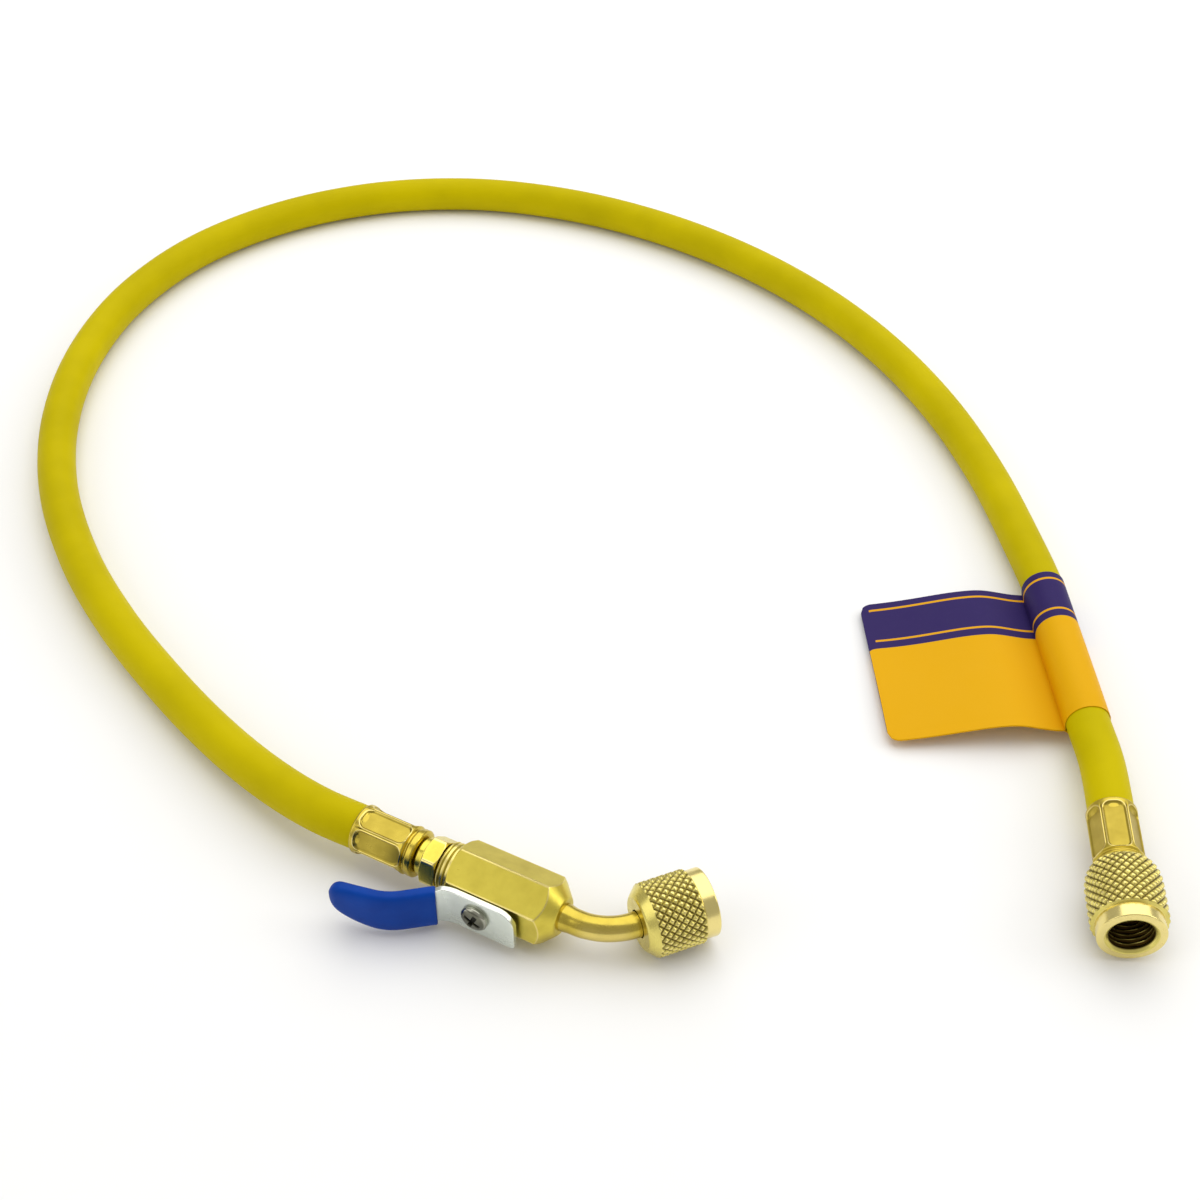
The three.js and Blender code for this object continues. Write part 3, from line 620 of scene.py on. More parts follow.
@dataclass(frozen=True)
class PrintedVinyl:
    """The label's print: a dark band with two thin lines at one edge, and a plain warm field.

    Attributes:
        length: the sheet's length laid flat, in millimetres.
        name: the material's name.
        field: colour of the plain part.
        band: colour of the dark band.
        faded: colour of the band where its ink is thin.
        rule: colour of the two lines in it.
        band_width: width of the dark band, in millimetres.
        rules: places of the two lines across the label, in millimetres.
        rule_width: width of a line.
        rule_inset: how far from the flag's end a line starts.
        ink_edge: half the width over which one colour gives way to the next.
        roughness: how dull the film is.
        specular: strength of its reflections, 0.5 for an ordinary plastic.
    """

    length: float
    name: str = "label_vinyl"
    field: Colour = srgb(224, 168, 0)
    band: Colour = srgb(48, 35, 92)
    faded: Colour = srgb(66, 50, 112)
    rule: Colour = srgb(226, 164, 10)
    band_width: float = 17.8
    rules: tuple[float, float] = (2.6, 14.8)
    rule_width: float = 0.75
    rule_inset: float = 2.2
    ink_edge: float = 0.08
    roughness: float = 0.5
    specular: float = 0.1

    def material(self) -> bpy.types.Material:
        """The material: the print by its wrap map, and small waves in the film."""
        shader = Shader(self.name)
        wrap = shader.node("ShaderNodeUVMap", {"uv_map": WRAP}).outputs[0]
        parts = shader.node("ShaderNodeSeparateXYZ", None, {0: wrap})
        along = Value(shader, parts.outputs[0])
        across = Value(shader, parts.outputs[1])
        band = 1.0 - across.between(self.band_width - self.ink_edge, self.band_width + self.ink_edge)
        from_end = along.smaller(self.length - along)
        half = self.rule_width / 2.0
        first, second = (1.0 - abs(across - k).between(half - self.ink_edge, half + self.ink_edge)
                         for k in self.rules)
        inside = from_end.between(self.rule_inset - self.ink_edge, self.rule_inset + self.ink_edge)
        rule = (first + second) * inside
        ink = shader.noise(shader.place(), 900.0, 3.0)
        printed = shader.mix(ink.between(0.55, 0.9) * 0.25, self.band, self.faded)
        colour = shader.mix(rule, shader.mix(band, self.field, printed), self.rule)
        waves = shader.noise(shader.place(), 160.0, 2.0)
        roughness = self.roughness + (waves - 0.5) * 0.16 + ink * 0.05
        normal = shader.bump(waves, 0.35, 0.25)
        return shader.finish({"Base Color": colour, "Roughness": roughness, "Normal": normal,
                              "Specular IOR Level": self.specular})


@dataclass(frozen=True)
class Plastic:
    """A rubber or plastic with soft clouds of colour and a fine skin.

    Attributes:
        name: the material's name.
        colour: its colour.
        cloud: its colour in the clouds.
        roughness: how dull it is.
        cloud_size: size of the clouds, in millimetres.
        skin_size: size of the skin's grain, in millimetres.
        skin_height: height of the skin's grain, in millimetres.
        specular: strength of its reflections, 0.5 for an ordinary plastic.
    """

    name: str
    colour: Colour
    cloud: Colour
    roughness: float
    cloud_size: float = 8.0
    skin_size: float = 0.5
    skin_height: float = 0.02
    specular: float = 0.5

    def material(self) -> bpy.types.Material:
        """The material: clouds in colour and roughness, and the skin as bump."""
        shader = Shader(self.name)
        clouds = shader.noise(shader.place(), 1.0 / (self.cloud_size * MM), 3.0)
        skin = shader.noise(shader.place(), 1.0 / (self.skin_size * MM), 3.0)
        colour = shader.mix(clouds.between(0.35, 0.7), self.colour, self.cloud)
        roughness = self.roughness + (clouds - 0.5) * 0.15 + (skin - 0.5) * 0.08
        normal = shader.bump(skin * 0.4 + clouds * 0.6, self.skin_height, 0.4)
        return shader.finish({"Base Color": colour, "Roughness": roughness, "Normal": normal,
                              "Specular IOR Level": self.specular})


def dress(piece: bpy.types.Object, finish: bpy.types.Material) -> None:
    """Gives a piece one material in place of any it had."""
    piece.data.materials.clear()
    piece.data.materials.append(finish)


def install(piece: bpy.types.Object, body: Body, node: str,
            finish: bpy.types.Material) -> bpy.types.Object:
    """Puts a finished piece in the place of a CAD node.

    Args:
        piece: the new object.
        body: the body that it moves with.
        node: the CAD node that it stands for.
        finish: its material.

    Returns:
        The piece.
    """
    dress(piece, finish)
    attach(piece, body.value)
    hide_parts(node)
    return piece


@dataclass
class CrimpedFerrule:
    """A brass sleeve pressed over a hose end by six jaws; x = 0 is its mouth.

    Attributes:
        placement: frame with its zero at the mouth.
        length: whole length.
        mouth_radius: outer radius of the slightly belled mouth.
        ridge_radius: radius of the ridges that the jaws leave.
        apothem: distance from the axis to the middle of a pressed flat.
        flat_angle: angle of one flat.
        pocket: first and last place of the pressed flats.
        pocket_half_width: half a flat's width round the sleeve.
        pocket_corner: radius of a flat's corners.
        ramp: length of the slope from the mouth down into a flat.
        edge: width of the soft step at a flat's sides.
        rim_radius: radius of the rounded rim at the rear.
        groove: distance from the rear to the groove before the rim, and the groove's radius.
        hole_radius: radius of the hole in its rear wall.
        rear_wall: thickness of that wall.
        mouth_bore: inner radius at the mouth.
        bore: inner radius behind it.
    """

    placement: Placement
    length: float = 16.9
    mouth_radius: float = 6.12
    ridge_radius: float = 6.05
    apothem: float = 5.05
    flat_angle: float = 23.0
    pocket: tuple[float, float] = (1.1, 13.9)
    pocket_half_width: float = 2.85
    pocket_corner: float = 1.9
    ramp: float = 1.6
    edge: float = 0.35
    rim_radius: float = 5.85
    groove: tuple[float, float] = (2.5, 5.3)
    hole_radius: float = 3.5
    rear_wall: float = 1.0
    mouth_bore: float = 5.62
    bore: float = 4.85

    def profile(self) -> Array:
        """Its section from the mouth's inner edge over the outside and back along the inside."""
        back, groove_radius = self.groove
        groove = self.length - back
        wall = self.length - self.rear_wall
        outside = rounded([
            (0.0, self.mouth_bore), (0.0, self.mouth_radius - 0.15), (0.35, self.mouth_radius),
            (1.3, self.ridge_radius), (groove - 0.35, self.ridge_radius), (groove, groove_radius),
            (groove + 0.4, groove_radius), (groove + 0.75, self.rim_radius),
            (self.length - 0.35, self.rim_radius), (self.length, self.rim_radius - 0.6),
            (self.length, self.hole_radius),
        ], 0.25)
        inside = np.array([(wall, self.hole_radius), (wall, self.bore), (2.8, self.bore),
                           (1.4, self.mouth_bore - 0.04)])
        return np.vstack([dense(outside, 0.14), inside])

    def pressed(self, theta: Array, along: Array, radius: Array) -> tuple[Array, Array]:
        """Moves the outside towards six flats, apothem / cos(turn), inside six rounded pockets.

        A pocket's depth follows the distance to a box with round corners, whose mouth end is a
        ramp. A fine seam, where two jaws met, runs along each ridge and is deepest at the mouth.

        Args:
            theta: angle round the axis.
            along: place from the mouth.
            radius: the profile's radius.

        Returns:
            The radius, and the wear_and_painted_light: lighter round the pockets, partly polish and
            partly painted highlight; dull, with painted shade, at their walls, on the pressed flats and
            in the seams.
        """
        turn = (np.degrees(theta) - self.flat_angle + 30.0) % 60.0 - 30.0
        arc = np.abs(np.radians(turn)) * self.ridge_radius
        start, end = self.pocket
        over_side = arc - (self.pocket_half_width - self.pocket_corner)
        over_end = np.abs(along - (start + end) / 2) - ((end - start) / 2 - self.pocket_corner)
        outer = np.hypot(np.maximum(over_side, 0.0), np.maximum(over_end, 0.0))
        distance = outer + np.minimum(np.maximum(over_side, over_end), 0.0) - self.pocket_corner
        wall = smooth_step(-distance / self.edge)
        depth = wall * smooth_step((along - start + 0.4) / self.ramp)
        flat = self.apothem / np.cos(np.radians(turn))
        skin = radius > self.ridge_radius - 0.4
        shaped = np.where(skin, radius + (np.minimum(flat, radius) - radius) * depth, radius)
        seam = smooth_step((along - 1.4) / 0.8) * smooth_step((end - 0.5 - along) / 1.5) * 0.6
        seam = seam + 0.5 * smooth_step(1.0 - np.abs(along - 1.9) / 1.3)
        seam = seam * smooth_step(1.0 - np.abs(np.abs(turn) - 30.0) / 3.0) * skin
        # Lighter rim round each pocket, partly polish and partly painted highlight; painted shade on the
        # pocket walls.
        wear_and_painted_light = 0.8 * smooth_step(1.0 - np.abs(distance) / 0.3) - 2.4 * wall * (1.0 - wall)
        # Painted shade on the pressed flats, a quarter as strong, and in the seams.
        return shaped - 0.2 * seam, (wear_and_painted_light - 0.25 * depth) * skin - seam

    def build(self, name: str, node: str, finish: bpy.types.Material) -> bpy.types.Object:
        """Makes the sleeve in the place of a CAD node."""
        line = axis_line(self.placement, 0.0, self.length)
        surface = Surface.swept(line, self.profile(), 288, self.pressed)
        return install(surface.build(name, 40.0), Body.ASSEMBLY, node, finish)


@dataclass
class SwivelNut:
    """A knurled flare nut; x = 0 is its back and its threaded bore opens at x = length.

    Attributes:
        placement: frame with its zero at the back.
        length: whole length.
        radius: radius over the knurl.
        collar: radius and length of the smooth collar at the face.
        back: form, length and end radius of the back.
        throat: radius of the hole in the back wall.
        bore: radius over the thread's crests.
        back_wall: thickness of the back wall.
        diamonds: knurl diamonds round the nut.
        diamond_length: length of a diamond along the axis.
        knurl_depth: depth of the knurl's grooves.
        thread_pitch: pitch of the thread.
        thread_depth: depth of the thread.
        thread_start: place in the bore where the thread starts.
        knurl_from: radius above which a domed back is knurled.
    """

    placement: Placement
    length: float
    radius: float
    collar: tuple[float, float]
    back: tuple[Back, float, float]
    throat: float
    bore: float = 5.2
    back_wall: float = 3.0
    diamonds: int = 26
    diamond_length: float = 2.2
    knurl_depth: float = 0.5
    thread_pitch: float = 1.27
    thread_depth: float = 0.4
    thread_start: float = 6.2
    knurl_from: float = 7.3

    @property
    def knurl_end(self) -> float:
        """Place where the knurl stops and the collar starts."""
        return self.length - self.collar[1]

    def back_outline(self) -> Array:
        """The back from its flat end to the full radius: a cone, or a quarter of an ellipse."""
        form, length, end_radius = self.back
        if form is Back.CONE:
            return np.array([(0.0, end_radius - 0.5), (0.35, end_radius), (length, self.radius)])
        t = np.linspace(0.0, np.pi / 2, 14)
        along = 0.35 + (length - 0.35) * (1.0 - np.cos(t))
        radius = end_radius + (self.radius - end_radius) * np.sin(t)
        return np.vstack([[(0.0, end_radius - 0.5)], np.stack([along, radius], axis=-1)])

    def profile(self) -> Array:
        """Its section: the back, the knurled outside, the collar, the face and the bore."""
        collar_radius = self.collar[0]
        outside = rounded(np.vstack([
            [(0.0, self.throat)], self.back_outline(),
            [(self.knurl_end - 0.25, self.radius), (self.knurl_end + 0.15, collar_radius)],
        ]), 0.15, 2)
        face = rounded([
            (self.knurl_end + 0.15, collar_radius), (self.length - 0.1, collar_radius + 0.04),
            (self.length, self.bore + 0.75), (self.length - 0.75, self.bore),
        ], 0.35, 4)
        bore = np.array([(self.length - 0.75, self.bore), (self.back_wall + 0.1, self.bore)])
        wall = np.array([(self.back_wall, self.bore), (self.back_wall, self.throat)])
        return np.vstack([dense(outside, 0.17)[:-1], dense(face, 0.5)[:-1], dense(bore, 0.2), wall])

    def cut(self, theta: Array, along: Array, radius: Array) -> tuple[Array, Array]:
        """Presses the knurl and cuts the thread.

        The knurl has two sets of grooves, where angle plus and minus length are whole numbers of
        diamonds, and a flat top: height = min of both triangle waves over 0.7, at most 1. The
        thread is a triangle wave of length minus one pitch for each turn.

        Args:
            theta: angle round the axis.
            along: place from the back.
            radius: the profile's radius.

        Returns:
            The radius, and the wear_and_painted_light: lighter diamond tops, partly polish and partly
            painted highlight; painted shade in the knurl's grooves and down the bore, with lighter thread
            crests and a lighter collar as painted highlight.
        """
        round_part = self.diamonds * theta / (2.0 * np.pi)
        long_part = along / self.diamond_length
        height = np.minimum(wave(round_part + long_part), wave(round_part - long_part)) / 0.7
        height = np.minimum(height, 1.0)
        outside = radius > self.bore + 1.0
        domed = self.back[0] is Back.DOME
        lowest = self.knurl_from if domed else self.radius - 0.25
        knurled = smooth_step((radius - lowest) / (0.5 if domed else 0.2))
        knurled = knurled * smooth_step((self.knurl_end - 0.1 - along) / 0.3) * outside
        groove = self.knurl_depth * (1.0 - smooth_step(height)) * knurled
        in_bore = (np.abs(radius - self.bore) < 0.02) & (along > self.back_wall)
        lead = smooth_step((self.length - 0.9 - along) / 0.6)
        lead = lead * smooth_step((along - self.thread_start) / 0.6)
        thread = wave(along / self.thread_pitch - theta / (2.0 * np.pi)) * in_bore * lead
        crest = smooth_step((0.3 - thread) / 0.25) * lead
        turned = outside * (radius < self.collar[0] + 0.1) * (along > self.knurl_end)
        # Knurl: lighter tops, partly polish and partly painted highlight, and painted shade in the
        # grooves.
        wear_and_painted_light = knurled * (0.7 * smooth_step((height - 0.75) / 0.25) + smooth_step(height / 0.6) - 1.0)
        # Painted highlight on the turned collar; painted shade down the bore, with painted highlight on
        # the crests.
        wear_and_painted_light = wear_and_painted_light + 0.75 * turned + in_bore * (0.8 * crest - 1.0)
        return radius - groove + self.thread_depth * thread, wear_and_painted_light

    def build(self, name: str, node: str, body: Body, finish: bpy.types.Material) -> bpy.types.Object:
        """Makes the nut in the place of a CAD node."""
        line = axis_line(self.placement, 0.0, self.length)
        surface = Surface.swept(line, self.profile(), 9 * self.diamonds, self.cut)
        return install(surface.build(name, 45.0), body, node, finish)


@dataclass
class FlareSeat:
    """What lies inside a swivel nut: the flange's gasket, and a core depressor at the bent end.

    Attributes:
        placement: the nut's frame.
        gasket: start, thickness, outer radius and bore radius of the gasket.
        disc: start, thickness and radius of the depressor's disc.
        pin: length and radius of its pin.
    """

    placement: Placement
    gasket: tuple[float, float, float, float] = (5.8, 1.6, 4.6, 2.2)
    disc: tuple[float, float, float] = (5.9, 0.8, 1.9)
    pin: tuple[float, float] = (1.6, 0.7)

    def build_gasket(self, name: str, node: str, finish: bpy.types.Material) -> bpy.types.Object:
        """Makes the neoprene ring: a rounded rectangle turned about the axis."""
        start, thickness, outer, bore = self.gasket
        end = start + thickness
        corners = [(start, bore + 0.3), (start, outer), (end, outer), (end, bore), (start, bore),
                   (start, bore + 0.3)]
        profile = rounded(corners, 0.3)[:-1]
        surface = Surface.swept(axis_line(self.placement, start, end), profile, 72)
        return install(surface.build(name), Body.ASSEMBLY, node, finish)

    def build_depressor(self, name: str, node: str, finish: bpy.types.Material) -> bpy.types.Object:
        """Makes the depressor: a disc and a pin with a rounded end, turned about the axis."""
        start, thickness, radius = self.disc
        length, pin_radius = self.pin
        face = start + thickness
        corners = [(start, 0.2), (start, radius), (face, radius), (face, pin_radius),
                   (face + length, pin_radius), (face + length, 0.05)]
        surface = Surface.swept(axis_line(self.placement, start, face + length),
                                rounded(corners, 0.25), 48, ring=False)
        return install(surface.build(name), Body.ASSEMBLY, node, finish)


@dataclass
class BallValve:
    """The compact ball valve: its hexagon body and the hose stem screwed into its rear.

    Attributes:
        placement: frame with its zero where the valve stem crosses the axis.
        flats: width of the body over its flats.
        corner_radius: radius at its worn corners.
        rear: place of the hexagon's rear face.
        front: place where the cone starts.
        cone_length: length of the cone.
        cone_end: radius of the cone's end.
        shoulder: length and radius of the turned shoulder at the rear.
        hollows: places of the hollows between the shoulder's rings, behind the hexagon's face.
        socket: depth and radius of the elbow's socket.
        stem_flats: width of the small hexagon.
        stem_hex: rear and front place of the small hexagon.
        collar: length and radius of the collar at the ferrule.
        tail: place of the barbed tail's tip.
        plug: length and radius of the plug in the body.
        stem_bore: radius of the bore through the stem.
    """

    placement: Placement
    flats: float = 14.6
    corner_radius: float = 8.36
    rear: float = -10.0
    front: float = 13.8
    cone_length: float = 3.8
    cone_end: float = 4.6
    shoulder: tuple[float, float] = (3.6, 6.2)
    hollows: tuple[float, float] = (1.3, 2.5)
    socket: tuple[float, float] = (3.2, 3.3)
    stem_flats: float = 11.1
    stem_hex: tuple[float, float] = (-18.1, -13.9)
    collar: tuple[float, float] = (2.3, 4.6)
    tail: float = -34.9
    plug: tuple[float, float] = (7.6, 4.7)
    stem_bore: float = 1.3

    def body_profile(self) -> Array:
        """Section from the rear mouth over the shoulder, the hexagon and the cone, back inside."""
        length, radius = self.shoulder
        start = self.rear - length
        end = self.front + self.cone_length
        depth, socket_radius = self.socket
        outside = rounded([
            (start, 5.0), (start, radius - 0.7), (start + 0.6, radius), (self.rear, radius),
            (self.rear, self.flats / 2 + 0.15), (self.rear + 0.75, self.corner_radius),
            (self.front, self.corner_radius + 0.1), (end - 0.15, self.cone_end + 0.1),
            (end, self.cone_end - 0.3), (end, socket_radius),
        ], 0.22, 3)
        inside = np.array([(end - depth, socket_radius), (end - depth, 1.6), (4.7, 1.6), (4.7, 4.6),
                           (start, 5.0)])
        return np.vstack([dense(outside, 0.2), inside[:-1]])

    def body_shape(self, theta: Array, along: Array, radius: Array) -> tuple[Array, Array]:
        """The turned profile cut by a hexagon, with two hollows between the shoulder's rings.

        Args:
            theta: angle round the axis.
            along: place along the valve.
            radius: the profile's radius.

        Returns:
            The smaller of profile and hexagon, and the wear_and_painted_light: lighter along the edges,
            partly polish and partly painted highlight, painted highlight on the shoulder's rings and
            painted shade in the hollows between them.
        """
        bar = hexagon(theta, self.flats, 0.0)
        shaped = smooth_min(radius, bar, 0.16)
        behind = self.rear - along
        turned = (radius > 5.4) * (radius < 6.4) * (behind > 0.0)
        hollows = sum(smooth_step(1.0 - np.abs(behind - k) / 0.36) for k in self.hollows) * turned
        corner = smooth_step((shaped - self.corner_radius + 0.12) / 0.1)
        cone = smooth_step(1.0 - np.abs(radius - bar) / 0.2) * (along > 0.0)
        # Lighter edges, partly polish and partly painted highlight; painted highlight on the turned
        # shoulder; painted shade in its hollows.
        wear_and_painted_light = 0.8 * np.maximum(corner, cone) + 0.6 * turned - 1.4 * hollows
        return shaped - 0.26 * hollows, wear_and_painted_light

    def stem_profile(self) -> Array:
        """Section of the hose stem: barbed tail, collar, small hexagon and the plug, bored."""
        rear, front = self.stem_hex
        length, radius = self.collar
        back = rear - length
        plug_length, plug_radius = self.plug
        end = front + plug_length
        outside = rounded([
            (back - 1.0, 2.0), (back - 1.0, 3.2), (back + 0.1, 3.2), (back + 0.1, radius - 0.35),
            (back + 0.5, radius), (rear - 0.35, radius), (rear, radius + 0.3), (rear, 5.6),
            (rear + 0.45, 6.3), (front - 0.45, 6.3), (front, 5.6), (front, plug_radius),
            (end, plug_radius), (end, self.stem_bore),
        ], 0.2, 3)
        return np.vstack([[(self.tail, self.stem_bore)], barbs(self.tail, 3.0), dense(outside, 0.3)])

    def stem_shape(self, theta: Array, along: Array, radius: Array) -> tuple[Array, Array]:
        """The turned profile cut by the small hexagon, whose edges are lighter, partly polish and partly
        painted highlight.
        """
        bar = hexagon(theta, self.stem_flats, 14.0)
        shaped = smooth_min(radius, bar, 0.16)
        inside = (along > self.stem_hex[0]) & (along < self.stem_hex[1])
        corner = smooth_step((shaped - 6.05) / 0.2) + smooth_step(1.0 - np.abs(radius - bar) / 0.25)
        # Lighter hexagon edges, partly polish and partly painted highlight.
        return shaped, 0.8 * np.minimum(corner, 1.0) * inside

    def build_body(self, finish: bpy.types.Material) -> bpy.types.Object:
        """Makes the hexagon body."""
        line = axis_line(self.placement, self.rear - self.shoulder[0], self.front + self.cone_length)
        surface = Surface.swept(line, self.body_profile(), 240, self.body_shape, phase=30.0)
        return install(surface.build("valve_body_turned", 25.0), Body.ASSEMBLY, "valve_body",
                       finish)

    def build_stem(self, finish: bpy.types.Material) -> bpy.types.Object:
        """Makes the hose stem."""
        line = axis_line(self.placement, self.tail, self.stem_hex[1] + self.plug[0])
        surface = Surface.swept(line, self.stem_profile(), 180, self.stem_shape, phase=44.0)
        return install(surface.build("valve_hose_stem_turned", 25.0), Body.ASSEMBLY,
                       "valve_hose_stem", finish)


@dataclass
class Elbow:
    """The bent brass tube between the valve and its swivel nut.

    Attributes:
        placement: the valve's frame.
        start: place where the tube starts in the body's socket.
        bend_start: place where its bend starts.
        bend_radius: radius of the bend's middle line.
        bend_angle: angle of the bend in degrees, to the left.
        straight_out: straight length from the bend to the nut's back.
        radius: outer radius of the tube.
        root: extra radius at the body and the length over which it fades.
        body_end: place of the body's end, from which the root fades.
        bore: radius of the bore.
        flange: start from the nut's back, thickness and radius of the flange.
    """

    placement: Placement
    start: float = 14.7
    bend_start: float = 20.7
    bend_radius: float = 15.6
    bend_angle: float = 51.4
    straight_out: float = 0.6
    radius: float = 3.05
    root: tuple[float, float] = (0.3, 2.6)
    body_end: float = 17.6
    bore: float = 1.6
    flange: tuple[float, float, float] = (3.3, 2.2, 4.9)

    @property
    def bend_end(self) -> float:
        """Length along the tube at which its bend ends."""
        return self.bend_start + math.radians(self.bend_angle) * self.bend_radius

    def nut_placement(self) -> Placement:
        """Frame of the swivel nut, with its zero at the nut's back."""
        bend = math.radians(self.bend_angle)
        along = self.bend_start + self.bend_radius * math.sin(bend) + self.straight_out * math.cos(bend)
        side = self.bend_radius * (1.0 - math.cos(bend)) + self.straight_out * math.sin(bend)
        return self.placement.ahead(along, side, self.bend_angle)

    def centreline(self) -> Centreline:
        """A straight run, a circular arc to the left and a straight run through the nut's back."""
        bend = np.linspace(0.0, math.radians(self.bend_angle), 40)
        arc = np.stack([self.bend_start + self.bend_radius * np.sin(bend),
                        self.bend_radius * (1.0 - np.cos(bend)), 0.0 * bend], axis=-1)
        last = arc[-1] + 8.0 * np.array([math.cos(bend[-1]), math.sin(bend[-1]), 0.0])
        return Centreline(self.placement.to_row(np.vstack([[(self.start, 0.0, 0.0)], arc, [last]])),
                          self.start)

    def profile(self) -> Array:
        """Section of the tube and its flange, then the bore back to the start."""
        nut_back = self.bend_end + self.straight_out
        offset, thickness, flange_radius = self.flange
        flange_start = nut_back + offset
        flange_end = flange_start + thickness
        outside = rounded([
            (self.start, self.bore), (self.start, self.radius), (flange_start, self.radius),
            (flange_start, flange_radius), (flange_end - 0.4, flange_radius),
            (flange_end, flange_radius - 0.5), (flange_end, self.bore),
        ], 0.25, 3)
        inside = dense(np.array([(flange_end, self.bore), (self.start, self.bore)]), 1.0)[1:-1]
        return np.vstack([dense(outside, 0.5), inside])

    def shape(self, theta: Array, along: Array, radius: Array) -> tuple[Array, Array]:
        """Adds the root's swelling, and flattens the bend by 3 % across its plane."""
        extra, fade = self.root
        root = extra * smooth_step(1.0 - (along - self.body_end) / fade) * (radius > 2.5) * (radius < 4.0)
        bent = smooth_step((along - self.bend_start) / 4.0) * smooth_step((self.bend_end - along) / 4.0)
        flat = 1.0 - 0.03 * bent * np.cos(theta) ** 2 * (radius > 2.5)
        return (radius + root) * flat, 0.4 * bent * np.cos(theta) ** 2

    def build(self, finish: bpy.types.Material) -> bpy.types.Object:
        """Makes the tube with its flange."""
        surface = Surface.swept(self.centreline(), self.profile(), 96, self.shape)
        return install(surface.build("elbow_tube_bent"), Body.ASSEMBLY, "elbow_tube",
                       finish)


@dataclass
class Lever:
    """The bent lever plate, its blue vinyl sleeve and its screw.

    Attributes:
        placement: the valve's frame.
        plate_side: distance from the valve's axis to the plate's middle.
        nose: place of the nose end.
        bends: places of the two bends and of the tip along the valve's axis.
        offsets: how far the handle stands out at the second bend and at the tip.
        bend_cut: distance from a bend's corner to where its curve starts.
        thickness: the plate's thickness.
        upper: half height above the axis at the valve.
        lower: half height below the axis.
        handle: half height of the plate in the handle, and how far it hangs lower.
        nose_corners: radius of the nose's upper and lower corner.
        neck: places between which the plate narrows to the handle.
        plate_corner: radius of the plate's long edges.
        plate_top: length and height of the curve in which the plate's upper edge ends.
        plate_low: the same for its lower edge.
        sleeve_start: place where the sleeve starts.
        sleeve_wall: thickness of the sleeve.
        tip_top: length and height of the curve in which the sleeve's upper edge ends.
        tip_low: the same for its lower edge.
        dome: length over which the sleeve's thickness ends.
        lip: length over which the sleeve's mouth turns in, and how far.
        squareness: how square the sleeve's section is, 2 for an ellipse.
        head: radius and height of the screw's head.
        recess: half width, half span and depth of its cross recess.
        recess_turn: how far the cross is turned, in degrees.
    """

    placement: Placement
    plate_side: float = 8.95
    nose: float = 10.0
    bends: tuple[float, float, float] = (-8.5, -18.7, -32.6)
    offsets: tuple[float, float] = (8.4, 11.4)
    bend_cut: float = 3.6
    thickness: float = 1.5
    upper: float = 5.2
    lower: float = 5.9
    handle: tuple[float, float] = (4.7, 1.2)
    nose_corners: tuple[float, float] = (4.4, 1.2)
    neck: tuple[float, float] = (-12.5, -8.5)
    plate_corner: float = 0.28
    plate_top: tuple[float, float] = (2.2, 2.0)
    plate_low: tuple[float, float] = (11.8, 6.5)
    sleeve_start: float = -10.3
    sleeve_wall: float = 1.2
    tip_top: tuple[float, float] = (3.4, 3.5)
    tip_low: tuple[float, float] = (13.0, 8.1)
    dome: float = 2.6
    lip: tuple[float, float] = (0.5, 0.35)
    squareness: float = 3.4
    head: tuple[float, float] = (3.4, 1.8)
    recess: tuple[float, float, float] = (0.46, 2.1, 1.0)
    recess_turn: float = 25.0

    def centreline(self, tip: float) -> Centreline:
        """The plate's middle seen from above, from a place near the tip to the nose, bends rounded."""
        first, second, end = self.bends
        slope = (self.offsets[1] - self.offsets[0]) / (second - end)
        corners = [
            (tip, -self.plate_side - self.offsets[0] - slope * (second - tip)),
            (second, -self.plate_side - self.offsets[0]), (first, -self.plate_side),
            (self.nose, -self.plate_side),
        ]
        flat = rounded(corners, self.bend_cut, 12)
        return Centreline(self.placement.to_row(np.column_stack([flat, np.zeros(len(flat))])))

    def plate_surface(self) -> Surface:
        """The plate: a rectangle with small round corners carried along the lever.

        Its upper and lower edges follow the outline: straight, a neck that is a smooth step,
        quarter circles at the nose and quarter ellipses at the tip.
        """
        line = self.centreline(self.bends[2] + self.sleeve_wall)
        length = line.marks[-1]
        big, small = self.nose_corners
        near_nose = length - big * (1.0 - np.sin(np.linspace(0.0, np.pi / 2, 28)))
        along = np.concatenate([np.linspace(0.0, length - big, 80)[:-1], near_nose])
        from_nose = length - along
        place = self.nose - from_nose
        half_height, drop = self.handle
        neck = smooth_step((place - self.neck[0]) / (self.neck[1] - self.neck[0]))
        top = (half_height - drop) + (self.upper - half_height + drop) * neck
        bottom = -(half_height + drop) - (self.lower - half_height - drop) * neck
        top = top - end_fall(from_nose, big, big) - end_fall(along, *self.plate_top)
        bottom = bottom + end_fall(from_nose, small, small) + end_fall(along, *self.plate_low)
        corner = self.plate_corner
        half = self.thickness / 2 - end_fall(from_nose, corner, corner)
        quarter = np.linspace(0.0, np.pi / 2, 6)
        theta = np.concatenate([quarter + k * np.pi / 2 for k in range(4)])
        sign = np.repeat([(1, 1), (-1, 1), (-1, -1), (1, -1)], 6, axis=0)
        middle = ((top + bottom) / 2)[:, None]
        reach = ((top - bottom) / 2)[:, None]
        across = sign[:, 0] * (half[:, None] - corner) + corner * np.cos(theta)
        height = middle + sign[:, 1] * (reach - corner) + corner * np.sin(theta)
        surface = Surface.carried(line, along, across, height)
        # Lighter nickel along the four rounded long edges, partly polish and partly painted highlight.
        surface.wear_and_painted_light = 0.7 * np.abs(np.sin(2.0 * theta)) + 0.0 * height
        return surface

